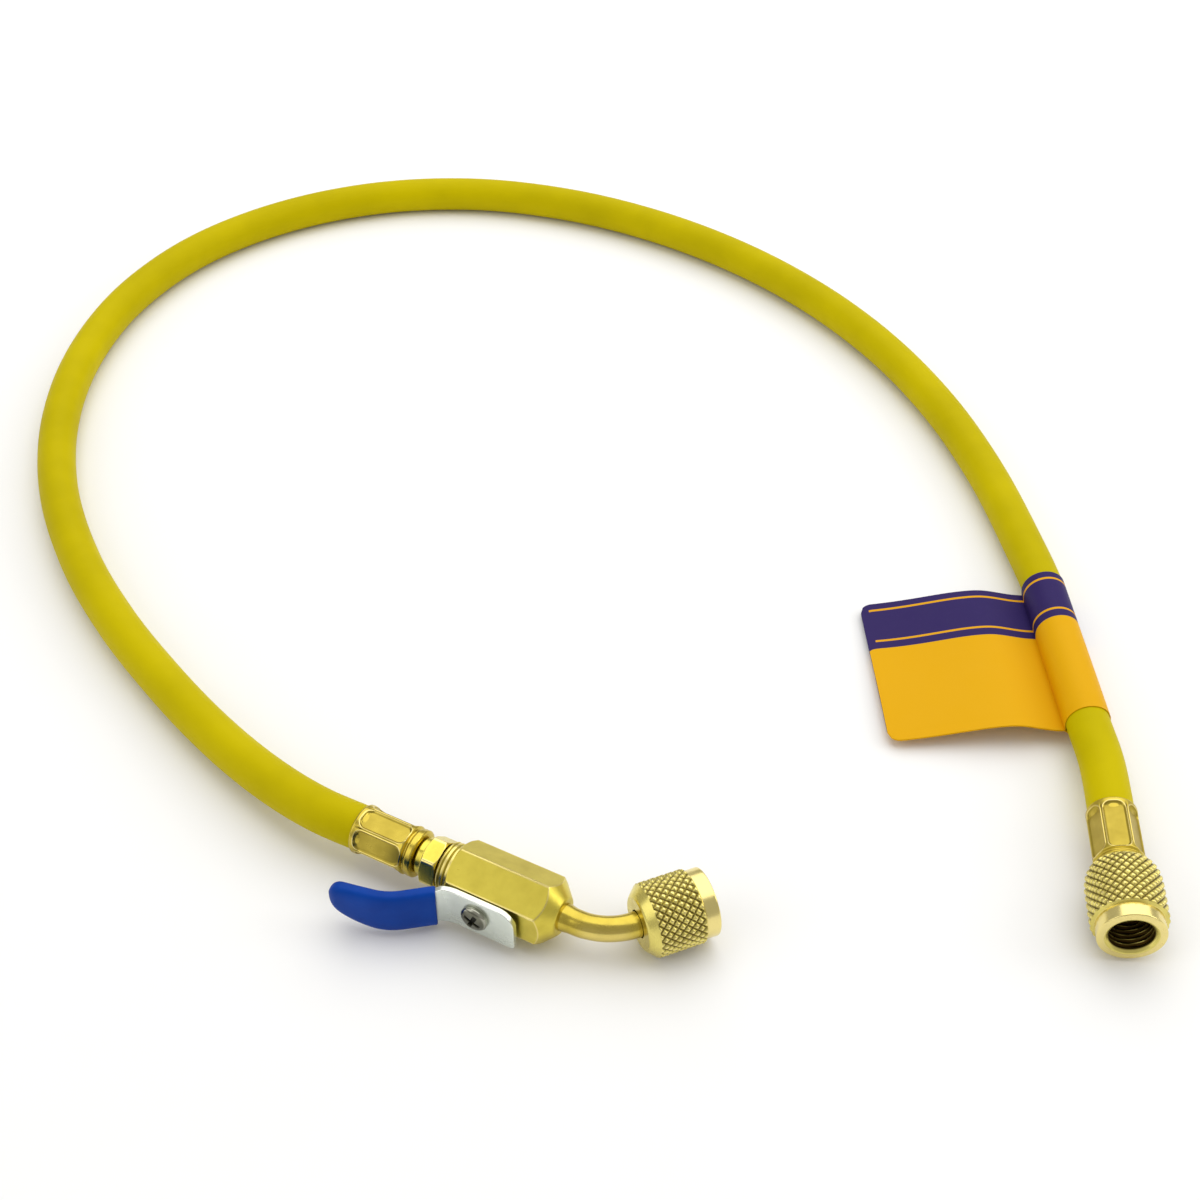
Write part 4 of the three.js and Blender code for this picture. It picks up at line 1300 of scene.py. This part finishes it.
    def sleeve_surface(self) -> Surface:
        """The dipped sleeve: a superellipse carried along the handle, with a domed end.

        Half thickness and half height are |cos|^(2/p) and |sin|^(2/p) of the angle. Near the tip
        both shrink along quarter ellipses, and at the mouth the lip turns in.
        """
        line = self.centreline(self.bends[2])
        length = line.marks[-1] - (self.nose - self.sleeve_start)
        longest = self.tip_low[0]
        lip_start = length - self.lip[0]
        near_tip = longest * (1.0 - np.cos(np.linspace(0.06, np.pi / 2, 36)))
        near_lip = length - self.lip[0] * (1.0 - np.sin(np.linspace(0.0, np.pi / 2, 6)))
        along = np.concatenate([near_tip, np.linspace(longest, lip_start, 40)[1:-1], near_lip])
        half_height, drop = self.handle
        full_height = half_height + self.sleeve_wall
        full_half = self.thickness / 2 + self.sleeve_wall
        top = full_height - end_fall(along, *self.tip_top)
        low = full_height - end_fall(along, *self.tip_low)
        height = (top + low) / 2
        middle = (top - low) / 2 - drop
        half = full_half - end_fall(along, self.dome, full_half)
        turned_in = end_fall(length - along, *self.lip)
        theta = 2.0 * np.pi * np.arange(64) / 64
        cos, sin = np.cos(theta), np.sin(theta)
        power = 2.0 / self.squareness
        across = (half - turned_in)[:, None] * np.sign(cos) * np.abs(cos) ** power
        rise = (height - turned_in)[:, None] * np.sign(sin) * np.abs(sin) ** power
        return Surface.carried(line, along, across, rise + middle[:, None])

    def head_surface(self) -> Surface:
        """The pan head on a polar grid: height over radius, less a cross with sloping walls.

        Its top is height (1 - 0.5 (r/R)^4). The cross is the union of two bars, each as deep as a
        smooth step of the distance inside it.
        """
        radius, top = self.head
        half_width, half_span, depth = self.recess
        r = np.concatenate([np.linspace(0.03, radius - 0.12, 44), [radius, radius, radius - 0.3]])
        theta = 2.0 * np.pi * np.arange(120) / 120
        rise = top * (1.0 - 0.5 * (r / radius) ** 4)
        rise[-3:] = (top * 0.42, 0.1, -0.25)
        u = r[:, None] * np.cos(theta)
        v = r[:, None] * np.sin(theta)
        turn = theta + math.radians(self.recess_turn)
        a, b = np.abs(r[:, None] * np.cos(turn)), np.abs(r[:, None] * np.sin(turn))
        bars = (np.minimum(half_width - a, half_span - b), np.minimum(half_width - b, half_span - a))
        inside = smooth_step(np.maximum(*bars) / 0.3 + 0.3)
        rise = rise[:, None] - depth * inside * (r < radius - 0.3)[:, None]
        outer = self.plate_side + self.thickness / 2
        local = np.stack([u, -outer - rise, v], axis=-1)
        # Painted shade in the cross recess; a lighter rim, partly polish and partly painted highlight.
        wear_and_painted_light = -0.8 * inside + 0.5 * smooth_step((r - radius + 0.6) / 0.4)[:, None]
        return Surface(self.placement.to_row(local), ring=False, wear_and_painted_light=wear_and_painted_light)

    def build(self, plate: bpy.types.Material, sleeve: bpy.types.Material,
              screw: bpy.types.Material) -> list[bpy.types.Object]:
        """Makes the plate, the sleeve and the screw's head."""
        return [
            install(self.plate_surface().build("lever_plate_bent"), Body.LEVER, "lever_plate",
                    plate),
            install(self.sleeve_surface().build("lever_grip_dipped", 60.0), Body.LEVER, "lever_grip",
                    sleeve),
            install(self.head_surface().build("lever_screw_head", 50.0), Body.LEVER, "lever_screw",
                    screw),
        ]


@dataclass
class HoseEndStem:
    """The barbed stem of the plain end, whose flange the nut pulls on; x = 0 is the ferrule's mouth.

    Attributes:
        placement: the ferrule's frame.
        tail: place of the barbed tail's tip.
        back_wall: place of the ferrule's rear wall.
        neck: radius of the neck between that wall and the flange.
        flange: start, thickness and radius of the flange.
        bore: radius of the bore.
    """

    placement: Placement
    tail: float = 2.4
    back_wall: float = 15.9
    neck: float = 3.2
    flange: tuple[float, float, float] = (20.6, 2.2, 4.9)
    bore: float = 1.3

    def build(self, finish: bpy.types.Material) -> bpy.types.Object:
        """Makes the stem: barbs, neck and flange turned about the axis, and a bore."""
        start, thickness, radius = self.flange
        end = start + thickness
        outside = rounded([
            (self.back_wall, 2.0), (self.back_wall, self.neck), (start, self.neck), (start, radius),
            (end - 0.4, radius), (end, radius - 0.5), (end, self.bore),
        ], 0.25)
        profile = np.vstack([[(self.tail, self.bore)], barbs(self.tail, 3.1), outside])
        surface = Surface.swept(axis_line(self.placement, self.tail, end), profile, 72)
        return install(surface.build("hose_end_stem_turned"), Body.ASSEMBLY, "hose_end_stem",
                       finish)


@dataclass
class Hose:
    """The rubber hose from one ferrule's mouth to the other's.

    Attributes:
        valve: frame with its zero at the valve ferrule's mouth, pointing into the ferrule.
        end: the same for the hose end's ferrule.
        radius: outer radius.
        squeezed: radius inside a ferrule.
        bore: radius of the bore.
        depth: length inside each ferrule.
        full: how far into a ferrule the hose keeps its full radius.
        columns: points round the hose.
    """

    valve: Placement
    end: Placement
    radius: float = HOSE_DIAMETER / 2
    squeezed: float = 4.7
    bore: float = 2.5
    depth: float = 15.6
    full: float = 1.2
    columns: int = 40

    def route(self) -> Array:
        """The mouth of each ferrule and a point just inside it, with the chosen points between."""
        middle = np.array(HOSE_ROUTE) / MM
        return np.vstack([self.valve.on_axis(self.full), self.valve.on_axis(0.0), middle,
                          self.end.on_axis(0.0), self.end.on_axis(self.full)])

    def free_line(self, steps: int = 12) -> Array:
        """A centripetal Catmull-Rom curve through the route.

        Between two points it is the cubic with their tangents, where a tangent weighs the chords
        by the square roots of their lengths.

        Args:
            steps: pieces between two points.

        Returns:
            Points from mouth to mouth, about 2 mm apart.
        """
        points = self.route()
        padded = np.vstack([2 * points[0] - points[1], points, 2 * points[-1] - points[-2]])
        gaps = np.linalg.norm(np.diff(padded, axis=0), axis=1, keepdims=True) ** 0.5
        p0, p1, p2, p3 = padded[:-3], padded[1:-2], padded[2:-1], padded[3:]
        d0, d1, d2 = gaps[:-2], gaps[1:-1], gaps[2:]
        out = ((p1 - p0) / d0 - (p2 - p0) / (d0 + d1) + (p2 - p1) / d1) * d1
        into = ((p2 - p1) / d1 - (p3 - p1) / (d1 + d2) + (p3 - p2) / d2) * d1
        t = np.linspace(0.0, 1.0, steps, endpoint=False)[None, :, None]
        a, b, m, n = p1[:, None], p2[:, None], out[:, None], into[:, None]
        curve = ((2 * t**3 - 3 * t**2 + 1) * a + (t**3 - 2 * t**2 + t) * m
                 + (3 * t**2 - 2 * t**3) * b + (t**3 - t**2) * n)
        inner = curve[1:-1].reshape(-1, 3)
        return np.vstack([inner, self.end.on_axis(0.0)])

    def rings(self) -> tuple[Centreline, Array, Array]:
        """Where the hose's rings lie.

        Returns:
            The centreline, the rings' places along it, and how far each is inside a ferrule.
        """
        free = self.free_line()
        line = Centreline(np.vstack([self.valve.on_axis(self.depth), free,
                                     self.end.on_axis(self.depth)]))
        marks = line.marks
        first, last = marks[1], marks[-2]
        inside = np.array([-self.depth, -12.0, -2.8, -self.full])
        along = np.concatenate([first + inside, marks[1:-1], last - inside[::-1]])
        return line, along, np.maximum(first - along, along - last)

    def surface(self) -> Surface:
        """The tube: round outside, squeezed in both ferrules, and bored from end to end."""
        line, along, past = self.rings()
        radius = self.radius + (self.squeezed - self.radius) * smooth_step((past - self.full) / 1.6)
        outer = np.column_stack([along, radius])
        inner = np.column_stack([along[::-1], np.full(len(along), self.bore)])
        surface = Surface.swept(line, np.vstack([outer, inner]), self.columns)
        around = np.linspace(0.0, 2.0 * np.pi * self.radius, self.columns + 1)
        surface.wrap = (np.concatenate([along, along[::-1], along[:1]]), around)
        return surface

    def build(self, finish: bpy.types.Material) -> bpy.types.Object:
        """Makes the hose in the place of its CAD node."""
        return install(self.surface().build("hose_cover"), Body.ASSEMBLY, "hose", finish)

    def declare(self) -> None:
        """Works out the hose's path along its rings and its free line, in metres; nothing more is done
        with them.
        """
        line, along, _ = self.rings()
        path = line.at(along)[0] * MM
        free = self.free_line() * MM


@dataclass
class FlagLabel:
    """A printed vinyl label: it wraps round the hose and its two ends are stuck together as a flag.

    Attributes:
        far: the hose's centre at the label's far edge, in millimetres.
        near: the same at its near edge.
        band_radius: radius of the film's middle round the hose.
        film: thickness of one ply.
        cusp: how far the fold stands out from the hose, and how quickly it falls off, in radians.
        fold: how far the fold lies below the hose's left side, in degrees.
        flag: length of the flag from the fold.
        rise: how far the flag rises from the fold, and its share of the way where it stops.
        drop: how far the flag's end hangs lower than that.
        corner: radius of the flag's corners.
        ripple: height of the film's slow waves.
    """

    far: tuple[float, float, float] = (87.7, 103.0, 6.3)
    near: tuple[float, float, float] = (89.9, 51.0, 7.2)
    band_radius: float = 5.68
    film: float = 0.22
    cusp: tuple[float, float] = (0.35, 0.12)
    fold: float = 27.0
    flag: float = 44.5
    rise: tuple[float, float] = (2.2, 0.3)
    drop: float = 4.2
    corner: float = 3.2
    ripple: float = 0.45

    @property
    def width(self) -> float:
        """The label's size along the hose."""
        return float(np.linalg.norm(np.array(self.near) - np.array(self.far)))

    def path(self) -> tuple[Array, Array]:
        """The film's middle seen along the hose: flag, once round the hose, and flag again.

        Round the hose the radius is the band's plus the cusp times exp(-angle / fall-off), so the
        film comes to a fold at the lower left. The flag rises and then hangs by smooth steps.

        Returns:
            Points to the right of and above the hose's centre, and each point's share of the way
            along the flag, 0 at the fold and round the hose.
        """
        out, fall = self.cusp
        turn = math.radians(self.fold)
        lift, crest = self.rise
        share = np.linspace(1.0, 0.0, 60)
        reach = self.band_radius + out
        flag_x = -reach * math.cos(turn) - self.flag * share
        flag_z = (lift * smooth_step(share / crest) - reach * math.sin(turn)
                  - self.drop * smooth_step((share - crest) / (1.0 - crest)))
        ply = self.film * 0.55
        under = np.column_stack([flag_x, flag_z - ply])
        over = np.column_stack([flag_x, flag_z + ply])[::-1]
        angle = np.linspace(0.0, 2.0 * np.pi, 98)[1:-1]
        radius = self.band_radius + out * np.exp(-np.minimum(angle, 2.0 * np.pi - angle) / fall)
        band = np.column_stack([-radius * np.cos(angle + turn), -radius * np.sin(angle + turn)])
        shares = np.concatenate([share, np.zeros(len(angle)), share[::-1]])
        return np.vstack([under, band, over]), shares

    def surface(self) -> tuple[Surface, float]:
        """The film: a flat section carried along the path, with rounded corners at the flag's end.

        Returns:
            The surface, and the film's length along its path.
        """
        path, shares = self.path()
        steps = np.linalg.norm(np.diff(path, axis=0), axis=1)
        marks = np.concatenate([[0.0], np.cumsum(steps)])
        total = marks[-1]
        tangent = np.gradient(path, marks, axis=0)
        tangent /= np.linalg.norm(tangent, axis=1, keepdims=True)
        normal = np.column_stack([-tangent[:, 1], tangent[:, 0]])
        from_end = np.minimum(marks, total - marks)
        cut = np.clip(self.corner - from_end, 0.0, self.corner)
        inset = self.corner - np.sqrt(np.maximum(self.corner**2 - cut**2, 0.0))
        across = np.linspace(0.0, 1.0, 27)
        low = inset[:, None]
        high = (self.width - inset)[:, None]
        one_side = low + (high - low) * across
        there_and_back = np.concatenate([one_side, one_side[:, ::-1]], axis=1)
        side = np.repeat([1.0, -1.0], len(across))
        lift = shares[:, None] * self.ripple * (
            np.sin(2.6 * np.pi * shares[:, None] + 0.5) * 0.6
            + np.sin(0.11 * there_and_back + 4.0 * shares[:, None]) * 0.5)
        flat = path[:, None] + side[None, :, None] * self.film / 2 * normal[:, None]
        start = np.array(self.far)
        along = (np.array(self.near) - start) / self.width
        right = np.cross(np.array([0.0, 0.0, 1.0]), along)
        right /= np.linalg.norm(right)
        up = np.cross(along, right)
        points = (start + there_and_back[..., None] * along + flat[..., :1] * right
                  + (flat[..., 1:] + lift[..., None]) * up)
        v = np.concatenate([across, across[::-1], [0.0]]) * self.width
        return Surface(points, ring=False, wrap=(marks, v)), total

    def build(self) -> bpy.types.Object:
        """Makes the label in the place of its CAD node."""
        surface, length = self.surface()
        finish = PrintedVinyl(length).material()
        return install(surface.build("hose_label", 50.0), Body.ASSEMBLY, "label", finish)


@dataclass(frozen=True)
class SoftLight:
    """A square area light.

    Attributes:
        name: its name.
        place: where it stands, in metres.
        size: its side, in metres.
        power: its power, in watts.
    """

    name: str
    place: tuple[float, float, float]
    size: float
    power: float


@dataclass(frozen=True)
class Studio:
    """Floor, soft lights and the camera at the photograph's place.

    Attributes:
        floor_size: side of the floor, in metres.
        camera_place: where the camera stands, in metres.
        camera_pitch: its tilt down from level, in degrees.
        lens: its lens, in millimetres, on a sensor 36 mm wide.
        sky: strength of the even light from all round.
        sky_colour: colour of that light.
        lights: the soft lights.
        aim: the point that the lights face, in metres.
    """

    floor_size: float = 8.0
    camera_place: tuple[float, float, float] = (-0.033, -0.2835, 0.351)
    camera_pitch: float = 42.1
    lens: float = 57.0
    sky: float = 0.5
    sky_colour: Colour = (1.0, 0.98, 0.94, 1.0)
    lights: tuple[SoftLight, ...] = (
        SoftLight("overhead", (0.2, 0.62, 1.15), 2.0, 16.0),
        SoftLight("left_fill", (-1.2, -0.25, 0.8), 1.1, 3.6),
        SoftLight("right_fill", (1.25, 0.1, 0.7), 0.6, 3.2),
    )
    aim: tuple[float, float, float] = (-0.02, 0.1, 0.0)

    def build_camera(self) -> bpy.types.Object:
        """Makes the camera and makes it the scene's."""
        data = bpy.data.cameras.new("camera")
        data.lens = self.lens
        data.sensor_width = 36.0
        camera = bpy.data.objects.new("camera", data)
        camera.location = self.camera_place
        camera.rotation_euler = (math.radians(90.0 - self.camera_pitch), 0.0, 0.0)
        bpy.context.scene.collection.objects.link(camera)
        bpy.context.scene.camera = camera
        return camera

    def build_floor(self) -> bpy.types.Object:
        """Makes the pale floor, a square at z = 0 with a faint grain."""
        half = self.floor_size / 2
        corners = [(-half, -half, 0.0), (half, -half, 0.0), (half, half, 0.0), (-half, half, 0.0)]
        mesh = bpy.data.meshes.new("floor")
        mesh.from_pydata(corners, [], [(0, 1, 2, 3)])
        floor = bpy.data.objects.new("floor", mesh)
        bpy.context.scene.collection.objects.link(floor)
        shader = Shader("floor_paper")
        grain = shader.noise(shader.place(), 30.0, 2.0)
        colour = shader.mix(grain, (0.93, 0.93, 0.93, 1.0), (0.95, 0.95, 0.95, 1.0))
        dress(floor, shader.finish({"Base Color": colour, "Roughness": 0.8, "Specular IOR Level": 0.2}))
        return floor

    def build_lights(self) -> None:
        """Makes the area lights, each turned towards the aim, and the even sky."""
        for soft in self.lights:
            data = bpy.data.lights.new(soft.name, "AREA")
            data.size = soft.size
            data.energy = soft.power
            light = bpy.data.objects.new(soft.name, data)
            light.location = soft.place
            direction = Vector(self.aim) - Vector(soft.place)
            light.rotation_euler = direction.to_track_quat("-Z", "Y").to_euler()
            bpy.context.scene.collection.objects.link(light)
        world = bpy.data.worlds.new("sky")
        world.use_nodes = True
        background = world.node_tree.nodes["Background"]
        background.inputs["Color"].default_value = self.sky_colour
        background.inputs["Strength"].default_value = self.sky
        bpy.context.scene.world = world
        bpy.context.scene.view_settings.view_transform = "Standard"


def brass(name: str, placement: Placement, roughness: float, colour: Colour, shade: Colour,
          line_size: tuple[float, float, float], line_height: float = 0.01) -> bpy.types.Material:
    """One of the object's brasses, whose edges are a lighter gold, partly polish and partly painted
    highlight.

    Args:
        name: the material's name.
        placement: frame that the tool lines follow.
        roughness: how dull it is.
        colour: its clean colour.
        shade: its colour in dull patches.
        line_size: size of the lines' grain in that frame, in millimetres.
        line_height: height of the lines, in millimetres.

    Returns:
        The material.
    """
    # srgb(240, 222, 150): the lighter gold of edges and tops, partly polish and partly painted highlight.
    finish = Metal(name, colour, shade, srgb(240, 222, 150), roughness, placement, line_size, line_height)
    return finish.material()


def dress_hidden(frame: dict[str, object], valve: Placement) -> None:
    """Gives the pieces inside the valve, which stay CAD solids, their own finishes.

    Args:
        valve: the valve's frame.
    """
    rings = (0.06, 3.0, 3.0)
    chrome = Metal("chromed_ball", srgb(205, 207, 205), srgb(150, 152, 150), srgb(235, 236, 235),
                   roughness=0.12, placement=valve, line_size=rings, line_height=0.002).material()
    turned = brass("turned_brass_stem", valve, 0.26, srgb(206, 182, 96), srgb(140, 116, 48), rings)
    seat = Plastic("ptfe", srgb(238, 238, 232), srgb(226, 226, 218), roughness=0.5, cloud_size=3.0,
                   skin_size=0.3).material()
    nodes = frame["nodes"]
    dress(nodes["valve_ball"], chrome)
    dress(nodes["valve_stem"], turned)
    dress(nodes["seat_ring_hose_side"], seat)
    dress(nodes["seat_ring_elbow_side"], seat)


def main() -> None:
    """Builds the sub-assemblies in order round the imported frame."""
    logging.basicConfig(level=logging.INFO, format="%(name)s: %(message)s")
    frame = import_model()
    studio = Studio()
    studio.build_camera()

    valve = Placement((-56.6, -3.5, 8.8), -28.8)
    valve_mouth = valve.ahead(-37.3)
    hose_end = Placement((89.1, 19.0, 9.0), -94.1)
    hose = Hose(valve_mouth, hose_end)
    hose_piece = hose.build(HoseRubber().material())
    label = FlagLabel().build()
    hose.declare()

    lengthwise = (6.0, 0.12, 0.12)
    rings = (0.08, 4.0, 4.0)
    gold = (srgb(206, 184, 76), srgb(144, 122, 36))
    olive = (srgb(220, 203, 84), srgb(172, 152, 52))
    pale = (srgb(226, 212, 118), srgb(168, 150, 66))
    CrimpedFerrule(valve_mouth).build(
        "valve_ferrule_crimped", "valve_ferrule",
        brass("ferrule_brass_valve", valve, 0.24, *gold, (4.0, 0.25, 0.25), 0.012))
    CrimpedFerrule(hose_end, pocket=(1.1, 15.0), groove=(1.5, 5.5)).build(
        "hose_end_ferrule_crimped", "hose_end_ferrule",
        brass("ferrule_brass_end", hose_end, 0.34, *gold, (4.0, 0.25, 0.25), 0.012))

    ball_valve = BallValve(valve)
    ball_valve.build_body(brass("body_brass", valve, 0.33, *olive, lengthwise, 0.016))
    ball_valve.build_stem(brass("turned_brass_valve", valve, 0.24, *olive, rings, 0.006))
    elbow = Elbow(valve)
    elbow.build(brass("tube_brass", valve, 0.24, *gold, (3.0, 0.6, 0.6), 0.004))

    elbow_end = elbow.nut_placement()
    valve_nut = SwivelNut(elbow_end, length=17.2, radius=8.8, collar=(8.1, 3.6),
                          back=(Back.CONE, 2.4, 6.8), throat=3.35)
    valve_nut.build("valve_nut_knurled", "valve_nut", Body.VALVE_SWIVEL,
                    brass("nut_brass_valve", elbow_end, 0.28, *pale, rings, 0.008))
    end_nut = SwivelNut(hose_end.ahead(17.3), length=19.7, radius=9.0, collar=(7.9, 3.8),
                        back=(Back.DOME, 6.0, 6.5), throat=3.5)
    end_nut.build("hose_end_nut_knurled", "hose_end_nut", Body.HOSE_END_SWIVEL,
                  brass("nut_brass_end", hose_end, 0.3, *pale, rings, 0.008))
    HoseEndStem(hose_end).build(brass("turned_brass_end", hose_end, 0.26, *olive, rings, 0.006))

    neoprene = Plastic("neoprene", srgb(34, 33, 32), srgb(46, 45, 43), roughness=0.62,
                       cloud_size=2.0, skin_size=0.25).material()
    valve_seat = FlareSeat(elbow_end)
    valve_seat.build_gasket("valve_gasket_ring", "valve_gasket", neoprene)
    valve_seat.build_depressor("core_depressor_pin", "core_depressor",
                               brass("turned_brass_pin", elbow_end, 0.26, *olive, rings, 0.006))
    FlareSeat(end_nut.placement).build_gasket("hose_end_gasket_ring", "hose_end_gasket", neoprene)

    # The third colour is the lighter nickel of the edges, partly polish and partly painted highlight.
    nickel = Metal("lever_nickel", srgb(222, 228, 218), srgb(196, 204, 192), srgb(248, 250, 246),
                   roughness=0.3, placement=valve, line_size=(5.0, 0.2, 0.2), line_height=0.004,
                   patch_size=6.0, patchiness=0.4).material()
    # Its near-black pit colour is painted shade in the cross recess.
    steel = Metal("screw_steel", srgb(112, 112, 98), srgb(50, 48, 40), srgb(206, 206, 190),
                  roughness=0.17, placement=valve, line_size=(0.5, 0.5, 0.5), line_height=0.01,
                  patch_size=2.0, patchiness=0.5, pit_painted_shade=srgb(18, 17, 14)).material()
    vinyl = Plastic("grip_vinyl", srgb(0, 64, 160), srgb(0, 54, 142), roughness=0.42, cloud_size=9.0,
                    skin_size=1.2, skin_height=0.015, specular=0.12).material()
    Lever(valve).build(nickel, vinyl, steel)
    dress_hidden(frame, valve)

    studio.build_floor()
    studio.build_lights()


if __name__ == "__main__":
    main()
